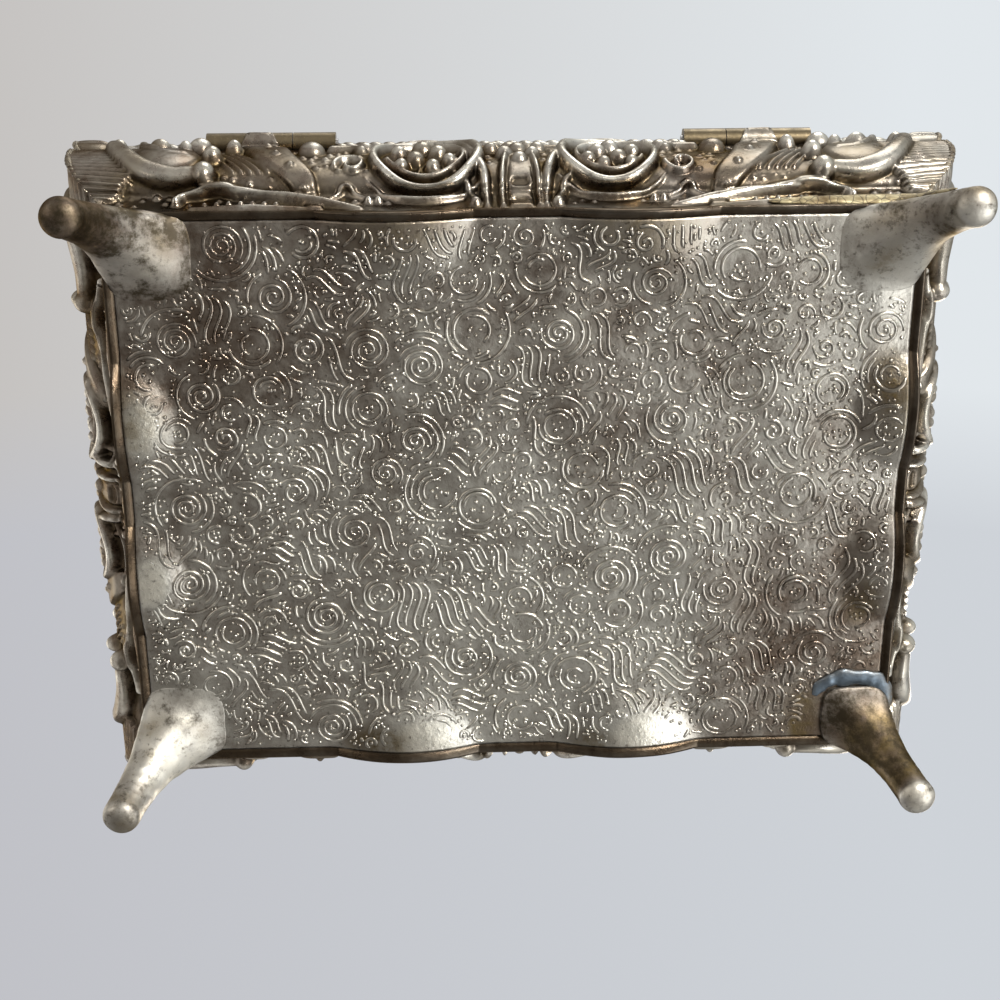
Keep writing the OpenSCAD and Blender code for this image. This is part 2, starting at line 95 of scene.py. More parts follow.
class RosaryBoxColours(bpy.types.PropertyGroup):
    dark: colour("Tarnish", "Dark warm tarnish of the silvered metal", (0.17, 0.13, 0.10))
    mid: colour("Silver", "Worn silvered metal", (0.55, 0.53, 0.475))
    light: colour("Bright silver", "Rubbed bright metal of crests and feet", (0.80, 0.76, 0.66))
    stain: colour("Brown stain", "Brown tarnish near the joints", (0.150, 0.108, 0.050))
    solder: colour("Solder", "Blue-grey solder round the mended foot", (0.10, 0.125, 0.15))
    brass: colour("Brass", "Aged brass of the hinges", (0.21, 0.165, 0.10))
    velvet: colour("Velvet", "Crimson velvet lining", (0.30, 0.012, 0.03))
    card: colour("Card", "Grey-brown card under the lining", (0.40, 0.33, 0.25))


def mm(value):
    return value / MM


def sizes():
    return bpy.context.scene.rosary_box_sizes


def colours():
    return bpy.context.scene.rosary_box_colours


# ---------------------------------------------------------------- surfaces

def smooth(x):
    """Smooth step from 0 at x = 0 to 1 at x = 1: 3 x squared less 2 x cubed."""
    x = np.clip(x, 0.0, 1.0)
    return x * x * (3.0 - 2.0 * x)


def unit(vectors):
    """Vectors brought to length 1."""
    return vectors / (np.linalg.norm(vectors, axis=-1, keepdims=True) + 1e-12)


def run_along(path):
    """Length along a path up to each of its points."""
    return np.concatenate([[0], np.cumsum(np.hypot.reduce(np.diff(path, axis=0), axis=1))])


def soften(path, times):
    """Draws each inner point of a path to the mean of itself and its neighbours, in place."""
    for _ in range(times):
        path[1:-1] = (path[:-2] + 2 * path[1:-1] + path[2:]) / 4


def blurred(field, times, own=0):
    """Mean of each point's four neighbours, with the point itself counted own times."""
    for _ in range(times):
        p = np.pad(field, 1, mode="edge")
        field = (own * field + p[2:, 1:-1] + p[:-2, 1:-1] + p[1:-1, 2:] + p[1:-1, :-2]) / (4 + own)
    return field


def squarish(angle, power):
    """Superellipse of radius 1: |cos| and |sin| to 2 / power, with their signs kept."""
    return [np.sign(v) * np.abs(v) ** (2 / power) for v in (np.cos(angle), np.sin(angle))]


def spread(x, y):
    """Two grids that hold the x and the y of every place."""
    return np.meshgrid(x, y, indexing="ij")


def grid_faces(rows, columns, wrap_rows=False, wrap_columns=False):
    """Quads of a grid whose point (i, j) has the number i * columns + j."""
    i = np.arange(rows if wrap_rows else rows - 1)[:, None]
    j = np.arange(columns if wrap_columns else columns - 1)[None, :]
    i2, j2 = (i + 1) % rows, (j + 1) % columns
    quads = np.stack([i * columns + j, i2 * columns + j, i2 * columns + j2, i * columns + j2], -1)
    return quads.reshape(-1, 4)


def sheet_rim(rows, columns):
    """Numbers of the border points of a grid, once round."""
    i, j = np.arange(rows), np.arange(columns)
    return np.concatenate([
        j[:-1], i[:-1] * columns + columns - 1,
        (rows - 1) * columns + j[:0:-1], i[:0:-1] * columns])


def turned(shell):
    """The same shell with all its faces turned over."""
    return shell[0], [faces[:, ::-1] for faces in shell[1]]


def joined(shells):
    """Many shells as one."""
    starts = np.cumsum([0] + [len(points) for points, _ in shells])
    kinds = zip(*(faces for _, faces in shells))
    return (np.vstack([points for points, _ in shells]),
            [np.vstack([faces + start for faces, start in zip(kind, starts)]) for kind in kinds])


def closed_sheet(front, back):
    """Shell from two grids of points: the whole front, and the back's rim with one flat face."""
    rows, columns = front.shape[:2]
    rim = sheet_rim(rows, columns)
    k = rows * columns + np.arange(len(rim))
    sides = np.stack([rim, np.roll(rim, -1), np.roll(k, -1), k], -1)
    return (np.vstack([front.reshape(-1, 3), back.reshape(-1, 3)[rim]]),
            [grid_faces(rows, columns), sides, k[None, :]])


def at_height(points, z, shrink=1.0):
    """The same places at one height, drawn in towards the middle by shrink."""
    return np.stack([points[..., 0] * shrink, points[..., 1] * shrink, 0 * points[..., 2] + z], -1)


def rimmed(field, shell, value=0.0):
    """A front's field carried on to the rim points of its back, which get one value."""
    return np.concatenate([field.ravel(), np.full(len(shell[0]) - field.size, value)])


def closed_tube(rings):
    """Shell from rings of points: quads from ring to ring and one face over each end."""
    n, m = rings.shape[:2]
    ends = np.array([np.arange(m), (n - 1) * m + np.arange(m)[::-1]])
    return rings.reshape(-1, 3), [grid_faces(n, m, wrap_columns=True), ends]


def hoop(rings):
    """Shell from rings of points whose last ring joins the first."""
    return rings.reshape(-1, 3), [grid_faces(*rings.shape[:2], wrap_rows=True, wrap_columns=True)]


def placed(obj):
    """Puts a new object into the scene."""
    bpy.context.scene.collection.objects.link(obj)
    return obj


def piece(name, shell, finish, body, fields=None, replaces=()):
    """Mesh object from a shell in mm, riding on its body in the shared frame."""
    points, faces = shell
    mesh = bpy.data.meshes.new(name)
    count = np.concatenate([np.full(len(f), f.shape[1]) for f in faces])
    corners = np.concatenate([f.ravel() for f in faces]).astype(np.int32)
    mesh.vertices.add(len(points))
    mesh.vertices.foreach_set("co", (points * MM).astype(np.float32).ravel())
    mesh.loops.add(len(corners))
    mesh.loops.foreach_set("vertex_index", corners)
    mesh.polygons.add(len(count))
    mesh.polygons.foreach_set("loop_start", (np.cumsum(count) - count).astype(np.int32))
    mesh.update(calc_edges=True)
    mesh.validate()
    mesh.polygons.foreach_set("use_smooth", np.ones(len(mesh.polygons), bool))
    for key, values in (fields or {}).items():
        layer = mesh.attributes.new(key, "FLOAT", "POINT")
        layer.data.foreach_set("value", np.asarray(values, np.float32).ravel())
    mesh.materials.append(material(finish))
    obj = placed(bpy.data.objects.new(name, mesh))
    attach(obj, body)
    if replaces:
        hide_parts(*replaces)
    return obj


def waves(x, y, seed, scale, count=7):
    """Slow unevenness: the mean of a few seeded sine waves about scale mm long, from -1 to 1."""
    draw = np.random.default_rng(seed)
    total = np.zeros(np.broadcast(x, y).shape)
    for turn, phase, stretch in zip(draw.uniform(0, 2 * np.pi, count),
                                    draw.uniform(0, 2 * np.pi, count),
                                    draw.uniform(0.6, 1.6, count)):
        k = 2 * np.pi / (scale * stretch)
        total = total + np.sin(k * (x * np.cos(turn) + y * np.sin(turn)) + phase)
    return total / count * 1.8


class Relief:
    """Heights in mm on a fine flat raster. Where strokes and pearls meet, the higher one wins."""

    def __init__(self, x0, x1, y0, y1, step):
        self.x0, self.y0, self.step = x0, y0, step
        self.x = np.arange(x0, x1 + step, step)
        self.y = np.arange(y0, y1 + step, step)
        self.z = np.zeros((len(self.x), len(self.y)))

    def window(self, x0, x1, y0, y1):
        """Part of the raster that a rectangle covers."""
        def part(low, high, first, count):
            return slice(max(int((low - first) / self.step), 0),
                         min(int((high - first) / self.step) + 2, count))
        return part(x0, x1, self.x0, len(self.x)), part(y0, y1, self.y0, len(self.y))

    def stroke(self, path, width, height, power=2.0, cut=False):
        """Rounded ridge along a path: height times the root of 1 less (distance / half width) to a
        power. Width and height may be lists that run from start to end. A cut sinks instead."""
        path = np.asarray(path, float)
        run = run_along(path)
        n = max(int(run[-1] / (1.2 * self.step)), 3)
        at, share = np.linspace(0, run[-1], n), np.linspace(0, 1, n)
        px, py = np.interp(at, run, path[:, 0]), np.interp(at, run, path[:, 1])
        half, tall = (np.interp(share, np.linspace(0, 1, np.size(v)), np.atleast_1d(v))
                      for v in (np.asarray(width) / 2, height))
        for k in range(0, n, 10):
            s = slice(k, k + 11)
            reach = half[s].max()
            wx, wy = self.window(px[s].min() - reach, px[s].max() + reach,
                                 py[s].min() - reach, py[s].max() + reach)
            if wx.start >= wx.stop or wy.start >= wy.stop:
                continue
            d = np.hypot(self.x[wx][:, None, None] - px[s], self.y[wy][None, :, None] - py[s])
            lift = (tall[s] * np.sqrt(np.clip(1 - (d / half[s]) ** power, 0, 1))).max(-1)
            if cut:
                sunk = np.where(lift > 0, 0.2 - lift, np.inf)
                self.z[wx, wy] = np.minimum(self.z[wx, wy], sunk)
            else:
                self.z[wx, wy] = np.maximum(self.z[wx, wy], lift)

    def pearl(self, x, y, rx, height, ry=None, add=False):
        """Half ball or oval boss."""
        ry = rx if ry is None else ry
        wx, wy = self.window(x - rx, x + rx, y - ry, y + ry)
        q = 1 - ((self.x[wx][:, None] - x) / rx) ** 2 - ((self.y[wy][None, :] - y) / ry) ** 2
        lift = height * np.sqrt(np.clip(q, 0, 1))
        self.z[wx, wy] = self.z[wx, wy] + lift if add else np.maximum(self.z[wx, wy], lift)

    def sample(self, x, y):
        """Height at any places, between the raster's points."""
        u = np.clip((x - self.x0) / self.step, 0, len(self.x) - 1.001)
        v = np.clip((y - self.y0) / self.step, 0, len(self.y) - 1.001)
        i, j = u.astype(int), v.astype(int)
        a, b = u - i, v - j
        z = self.z
        return ((z[i, j] * (1 - a) + z[i + 1, j] * a) * (1 - b)
                + (z[i, j + 1] * (1 - a) + z[i + 1, j + 1] * a) * b)


def arc(x, y, r, start, stop, n=40, ry=None, grow=0.0):
    """Points of an arc or spiral, angles in degrees; the radius gains grow from start to stop."""
    a = np.radians(np.linspace(start, stop, n))
    k = r + grow * np.linspace(0, 1, n)
    return np.stack([x + k * np.cos(a), y + k * (1 if ry is None else ry / r) * np.sin(a)], 1)


def on_circle(r, degrees, x=0.0, y=0.0):
    """Place on a circle round (x, y)."""
    t = math.radians(degrees)
    return x + r * math.cos(t), y + r * math.sin(t)


def bend(*points, n=40):
    """Smooth curve through a few points (each span a cubic with tangents from its neighbours)."""
    p = np.asarray(points, float)
    if len(p) < 3:
        return p
    p = np.vstack([2 * p[0] - p[1], p, 2 * p[-1] - p[-2]])
    spans = []
    t = np.linspace(0, 1, max(n // (len(p) - 3), 6))[:, None]
    for a, b, c, d in zip(p[:-3], p[1:-2], p[2:-1], p[3:]):
        spans.append(0.5 * ((2 * b) + (c - a) * t + (2 * a - 5 * b + 4 * c - d) * t ** 2
                            + (3 * b - a - 3 * c + d) * t ** 3))
    return np.vstack(spans)


# ---------------------------------------------------------------- materials

class Nodes:
    """Short way to lay out the nodes of a material or of the world."""

    def __init__(self, owner, kind="Material", place="Object"):
        owner.use_nodes = True
        self.tree = owner.node_tree
        self.tree.nodes.clear()
        self.out = self.add("ShaderNodeOutput" + kind)
        self.coord = self.add("ShaderNodeTexCoord").outputs[place]

    def add(self, kind, **inputs):
        node = self.tree.nodes.new(kind)
        for key, value in inputs.items():
            if key in node.inputs:
                node.inputs[key].default_value = value
            else:
                setattr(node, key, value)
        return node

    def link(self, a, b):
        self.tree.links.new(a, b)

    def feed(self, socket, value):
        """Links a socket to another or gives it a number or colour."""
        if isinstance(value, bpy.types.NodeSocket):
            self.link(value, socket)
        elif isinstance(value, (tuple, list)):
            socket.default_value = tuple(value)[:3] + (1.0,)
        elif value is not None:
            socket.default_value = value

    def noise(self, scale, detail=4.0, rough=0.55, coord=None):
        node = self.add("ShaderNodeTexNoise", Scale=scale, Detail=detail, Roughness=rough)
        self.link(coord or self.coord, node.inputs["Vector"])
        return node.outputs["Fac"]

    def drawn_out(self, share):
        """Coordinates in which a noise is drawn out along x."""
        node = self.add("ShaderNodeMapping", Scale=(share, 1.0, 1.0))
        self.link(self.coord, node.inputs["Vector"])
        return node.outputs["Vector"]

    def attr(self, name):
        return self.add("ShaderNodeAttribute", attribute_name=name).outputs["Fac"]

    def split(self, vector):
        node = self.add("ShaderNodeSeparateXYZ")
        self.link(vector, node.inputs[0])
        return node.outputs

    def math(self, how, a, b=None, clamp=False):
        node = self.add("ShaderNodeMath", operation=how, use_clamp=clamp)
        for socket, value in zip(node.inputs, (a, b)):
            self.feed(socket, value)
        return node.outputs[0]

    def remap(self, value, a, b, c=0.0, d=1.0):
        node = self.add("ShaderNodeMapRange", clamp=True, **{
            "From Min": a, "From Max": b, "To Min": c, "To Max": d})
        self.link(value, node.inputs["Value"])
        return node.outputs["Result"]

    def mix(self, share, a, b):
        node = self.add("ShaderNodeMix", data_type="RGBA")
        for key, value in (("Factor", share), (6, a), (7, b)):
            self.feed(node.inputs[key], value)
        return node.outputs[2]

    def mix_shaders(self, share, a, b):
        node = self.add("ShaderNodeMixShader")
        for socket, value in zip(node.inputs, (share, a, b)):
            self.link(value, socket)
        return node.outputs[0]

    def bump(self, height, strength, distance_mm, normal=None):
        node = self.add("ShaderNodeBump", Strength=strength, Distance=distance_mm * MM)
        self.feed(node.inputs["Height"], height)
        self.feed(node.inputs["Normal"], normal)
        return node.outputs["Normal"]

    def shader(self, colour, roughness, normal, **fixed):
        node = self.add("ShaderNodeBsdfPrincipled", **fixed)
        for key, value in (("Base Color", colour), ("Roughness", roughness), ("Normal", normal)):
            self.feed(node.inputs[key], value)
        self.link(node.outputs[0], self.out.inputs["Surface"])


def shade(tone, factor):
    """A colour made darker or paler by a factor."""
    return tuple(v * factor for v in tone)


def silver(n, bias=0.0, pit=1.0, gloss=0.0, blotch=0.0, grain=1.0):
    """Tarnished silvered casting. The pieces' own fields steer it: tone (dark to light), crest
    (hollow to rubbed) and stain (brown); four sizes of noise break each of them up."""
    c = colours()
    large, small = n.noise(90.0, 5.0, 0.6), n.noise(620.0, 6.0, 0.65)
    fine, grains = n.noise(3200.0, 3.0, 0.6), n.noise(1500.0, 5.0, 0.7)
    tone = n.math("ADD", n.attr("tone"), bias)
    tone = n.math("ADD", tone, n.remap(large, 0.3, 0.7, -0.28, 0.28))
    tone = n.math("ADD", tone, n.remap(small, 0.3, 0.7, -0.24, 0.24))
    body = n.mix(n.remap(tone, 0.0, 1.0), tuple(c.dark), tuple(c.mid))
    wear_and_painted_light = n.attr("wear_and_painted_light")
    # Rubbed metal lightens towards the bright silver; the same mix paints the highlights that the
    # wear field holds in places.
    rubbed = n.math("ADD", wear_and_painted_light, n.remap(small, 0.3, 0.7, -0.25, 0.25))
    rubbed = n.math("MULTIPLY", n.remap(rubbed, 0.25, 1.0), n.remap(tone, -0.3, 0.9, 0.35, 1.0))
    body = n.mix(rubbed, body, tuple(c.light))
    # Low wear values darken to near black: tarnish in the hollows, and a painted shadow line at the
    # foot of the walls.
    body = n.mix(n.remap(wear_and_painted_light, -1.0, 0.0, 0.9, 0.0), body, HOLLOW_TARNISH_AND_SHADOW)
    brown = n.math("MULTIPLY", n.attr("stain"), n.remap(small, 0.25, 0.6))
    body = n.mix(brown, body, tuple(c.stain))
    body = n.mix(n.remap(grains, 0.58, 0.68, 0.0, 0.7 * pit), body, PIT_BROWN)
    if blotch:
        patches = n.math("ADD", n.noise(420.0, 7.0, 0.75), n.remap(tone, 0.2, 1.1, 0.10, -0.06))
        body = n.mix(n.remap(patches, 0.52, 0.66, 0.0, blotch), body, BLOTCH_BROWN)
    rough = n.math("ADD", n.math("MULTIPLY", large, 0.4), n.math("MULTIPLY", small, 0.6))
    rough = n.remap(rough, 0.3, 0.7, 0.25 - gloss, 0.46 - gloss)
    rough = n.math("SUBTRACT", rough, n.math("MULTIPLY", rubbed, 0.05), True)
    normal = n.bump(fine, 0.35 * grain, 0.03)
    normal = n.bump(grains, 0.55 * grain, 0.06, normal)
    normal = n.bump(small, 0.5, 0.09, normal)
    n.shader(body, rough, normal, Metallic=1.0, **{"Specular Tint": SILVER_EDGE})


def material(key):
    """Each finish is made once and shared by the pieces that have it."""
    made = bpy.data.materials.get(key)
    if made is None:
        made = bpy.data.materials.new(key)
        maker, settings = FINISHES[key]
        maker(Nodes(made), **settings)
    return made


def velvet(n):
    """Crimson pile: dark in its depth, pale where the pile leans, with crushed streaks."""
    c = colours()
    patch, pile = n.noise(140.0, 4.0, 0.6), n.noise(5200.0, 2.0, 0.5)
    body = n.mix(n.remap(patch, 0.3, 0.7), shade(c.velvet, 0.35), tuple(c.velvet))
    body = n.mix(n.remap(pile, 0.35, 0.7, 0.0, 0.5), body,
                 tuple(min(v * 1.8 + 0.01, 1) for v in c.velvet))
    normal = n.bump(patch, 0.4, 0.4, n.bump(pile, 0.6, 0.12))
    n.shader(body, 0.9, normal, **{
        "Sheen Weight": 0.9, "Sheen Roughness": 0.35, "Sheen Tint": SHEEN_PINK,
        "Specular IOR Level": 0.15})


def card(n):
    """Grey-brown board with fibres and faint stains."""
    c = colours()
    fibre = n.noise(900.0, 5.0, 0.6, n.drawn_out(0.2))
    body = n.mix(n.remap(fibre, 0.3, 0.7), shade(c.card, 0.7), tuple(c.card))
    body = n.mix(n.remap(n.noise(60.0), 0.5, 0.75, 0.0, 0.4), body, shade(c.card, 0.5))
    n.shader(body, 0.85, n.bump(fibre, 0.4, 0.08))


def brass(n):
    """Aged hinge brass, once silvered: grey-brown with gold where it rubs."""
    c = colours()
    patch, fine = n.noise(380.0, 5.0, 0.65), n.noise(3000.0, 3.0, 0.6)
    body = n.mix(n.remap(patch, 0.3, 0.7), shade(c.brass, 0.4), tuple(c.brass))
    body = n.mix(n.remap(fine, 0.6, 0.75, 0.0, 0.35), body, RUBBED_GOLD)
    n.shader(body, n.remap(patch, 0.3, 0.7, 0.5, 0.26), n.bump(fine, 0.4, 0.04), Metallic=1.0)


def steel(n):
    """Grey hinge pin with drawn lines and a trace of rust."""
    lines = n.noise(4200.0, 3.0, 0.5, n.drawn_out(0.08))
    body = n.mix(n.remap(n.noise(700.0), 0.55, 0.72, 0.0, 0.7), STEEL_GREY, RUST)
    n.shader(body, n.remap(lines, 0.3, 0.7, 0.25, 0.42), n.bump(lines, 0.3, 0.02), Metallic=1.0)


def solder(n):
    """Dull blue-grey solder with brown burnt edges."""
    c = colours()
    patch, fine = n.noise(420.0, 5.0, 0.6), n.noise(2600.0, 4.0, 0.6)
    body = n.mix(n.remap(patch, 0.32, 0.68), tuple(c.solder), shade(c.solder, 1.8))
    brown = n.math("MULTIPLY", n.attr("stain"), n.remap(fine, 0.2, 0.55))
    normal = n.bump(fine, 0.5, 0.04, n.bump(patch, 0.6, 0.12))
    n.shader(n.mix(brown, body, tuple(c.stain)), n.remap(fine, 0.3, 0.7, 0.35, 0.6), normal,
             Metallic=1.0)


def seam(n, low, high):
    """Solder line with small cracks across it: yellow-brown, or grey-brown at the corners."""
    patch = n.noise(500.0, 5.0, 0.65)
    cells = n.add("ShaderNodeTexVoronoi", Scale=900.0, feature="DISTANCE_TO_EDGE")
    n.link(n.coord, cells.inputs["Vector"])
    crack = cells.outputs["Distance"]
    body = n.mix(n.remap(patch, 0.32, 0.66), low, high)
    body = n.mix(n.remap(crack, 0.0, 0.06, 0.85, 0.0), body, CRACK_BLACK)
    normal = n.bump(patch, 0.5, 0.08, n.bump(crack, 0.6, 0.1))
    n.shader(body, n.remap(patch, 0.3, 0.7, 0.6, 0.42), normal, Metallic=0.6)


HOLLOW_TARNISH_AND_SHADOW = (0.034, 0.023, 0.014)
PIT_BROWN = (0.05, 0.038, 0.028)
BLOTCH_BROWN = (0.055, 0.043, 0.026)
CRACK_BLACK = (0.02, 0.012, 0.008)
RUBBED_GOLD = (0.50, 0.40, 0.21)
STEEL_GREY, RUST = (0.42, 0.41, 0.40), (0.20, 0.09, 0.04)
SILVER_EDGE = (0.42, 0.39, 0.35, 1.0)
SHEEN_PINK = (1.0, 0.35, 0.4, 1.0)

FINISHES = {
    "ground_silver": (silver, {"grain": 2.0}),
    "line_silver": (silver, {"bias": 0.09, "pit": 0.5, "gloss": 0.06}),
    "wall_silver": (silver, {"pit": 0.8, "gloss": 0.05}),
    "foot_silver": (silver, {"pit": 0.8, "gloss": -0.12, "blotch": 0.9}),
    "lid_silver": (silver, {"bias": 0.15, "pit": 0.8}),
    "lining_velvet": (velvet, {}),
    "lining_card": (card, {}),
    "aged_brass": (brass, {}),
    "drawn_steel": (steel, {}),
    "foot_solder": (solder, {}),
    "corner_seam": (seam, {"low": (0.07, 0.05, 0.03), "high": (0.30, 0.26, 0.19)}),
    "solder_band": (seam, {"low": (0.13, 0.085, 0.035), "high": (0.42, 0.365, 0.215)}),
}


# ---------------------------------------------------------------- underside

def lobe_edge(x, at, half):
    """Depth of the apron's lobes under a wall: drop times 1 less (distance / half) squared."""
    return LOBE_DROP * np.clip(1 - ((np.abs(x) - at) / half) ** 2, 0, 1)


def swelling(x, y):
    """Round swelling of the plate towards each lobe, in mm below the flat underside."""
    def mound(along, at, half, inward, reach):
        rise = 1 - ((np.abs(along) - at) / half) ** 2 - (inward / reach) ** 2
        return 0.5 * (rise + np.sqrt(rise * rise + 0.03))
    long_side = mound(x, *LOBES_LONG, HALF_Y - np.abs(y), 7.4)
    short_side = mound(y, *LOBES_SHORT, HALF_X - np.abs(x), 6.0)
    return LOBE_DROP * 0.93 * np.maximum(long_side, short_side)


def ground(x, y):
    """Height of the underside: flat, less the swellings, with unevenness that fades at the rim."""
    inside = smooth(np.minimum(PLATE[1, 0] - np.abs(x), PLATE[1, 1] - np.abs(y)) / 4.0)
    return UNDERSIDE - swelling(x, y) - inside * 0.16 * (1 + waves(x, y, 3, 19.0))


def foot_near(x, y):
    """0 on a foot's root, 1 well away from it (a rounded square round each corner)."""
    dx = (HALF_X - np.abs(x)) / 9.2
    dy = (HALF_Y - np.abs(y)) / 9.0
    away = (np.clip(dx, 0, 9) ** 3.2 + np.clip(dy, 0, 9) ** 3.2) ** (1 / 3.2)
    return away - 1.0


def underside_tone(x, y):
    """Lighter at the right of the photograph and round the feet, darker at its upper left."""
    lobe = swelling(x, y) / LOBE_DROP
    tone = 0.60 - 0.002 * x - 0.003 * y + 0.13 * waves(x, y, 21, 26.0) + 0.09 * waves(x, y, 22, 9.0)
    tone = tone + 0.22 * np.exp(-((x - 2.0) / 20.0) ** 2 - ((y + 6.0) / 20.0) ** 2)
    # Painted highlight: the front lobes lighter.
    tone = tone + 0.3 * smooth(lobe - 0.2) * smooth((-y - 10.0) / 8.0)
    tone = tone - 0.34 * smooth((x - 14.0) / 26.0) * smooth((y + 20.0) / 36.0)
    tone = tone - 0.44 * smooth((-x - 14.0) / 16.0) * smooth((-y + 8.0) / 20.0)
    for strength, place in ((-0.12, (0.0, 17.0, 22.0, 13.0)), (0.2, (0.0, -24.0, 16.0, 9.0)),
                            (0.22, (39.6, -1.0, 2.4, 6.0)), (-0.2, (12.5, 29.5, 7.0, 3.0)),
                            (-0.2, (-16.0, 29.5, 7.0, 3.0))):
        tone = tone + strength * spots(x, y, place)
    # Ground round each foot shifted per corner to match that foot's brightness: painted light and
    # shade.
    near = np.exp(-np.clip(foot_near(x, y), 0, 9) * 4.0)
    near = near * np.where((x < 0) & (y < 0), -0.25, np.where((x > 0) & (y > 0), 0.1, 0.35))
    # The lobe patches add painted highlights to the tone.
    return np.clip(tone + near + lobe_highlight_and_wear(x, y), 0, 1.3)


def spots(x, y, *places):
    """Sum of soft round patches, each given as x, y, reach along x and reach along y."""
    return sum(np.exp(-(((x - a) / ra) ** 2 + ((y - b) / rb) ** 2) ** 2) for a, b, ra, rb in places)


def lobe_highlight_and_wear(x, y):
    """Rubbed bright patches on the lobes that the photograph shows."""
    return spots(x, y, (10.7, -28.8, 4.2, 2.8), (-14.2, -28.7, 4.0, 3.0), (39.8, 8.6, 2.2, 3.2),
                 (39.8, -8.8, 2.2, 3.0))


def underside_stain(x, y):
    """Brown tarnish on the back lobes and beside the mended foot."""
    lobes = np.clip(swelling(x, y) / LOBE_DROP, 0, 1) * smooth((y + 2.0) / 12.0) * 0.8
    mended = np.exp(-((x + 32.4) / 1.5) ** 2 - ((y + 28.0) / 3.6) ** 2) * 1.6
    front = spots(x, y, (16.2, -29.0, 3.8, 2.3), (-8.4, -29.4, 2.6, 1.7), (-38.8, 13.0, 2.2, 3.2),
                  (-38.0, -13.0, 2.0, 3.0))
    return np.clip(lobes + mended + 0.9 * front + 0.12 * waves(x, y, 31, 14.0), 0, 1)


def make_plate():
    """Cast plate: a sheet of the ground's height over x and y, with straight sides, flat on top."""
    low, high = PLATE
    x, y = spread(np.linspace(low[0], high[0], 300), np.linspace(low[1], high[1], 220))
    sheet = np.stack([x, y, ground(x, y)], -1)
    shell = turned(closed_sheet(sheet, at_height(sheet, high[2])))
    across, along = shell[0][:, 0], shell[0][:, 1]
    # The lobe patches raise the wear field to bright metal: painted highlights.
    wear_and_painted_light = -0.12 + 0.06 * waves(x, y, 5, 5.0) + 1.1 * lobe_highlight_and_wear(x, y)
    fields = {"tone": underside_tone(across, along), "stain": underside_stain(across, along),
              "wear_and_painted_light": rimmed(wear_and_painted_light, shell)}
    piece("base_ground", shell, "ground_silver", "box", fields, ("base_plate",))


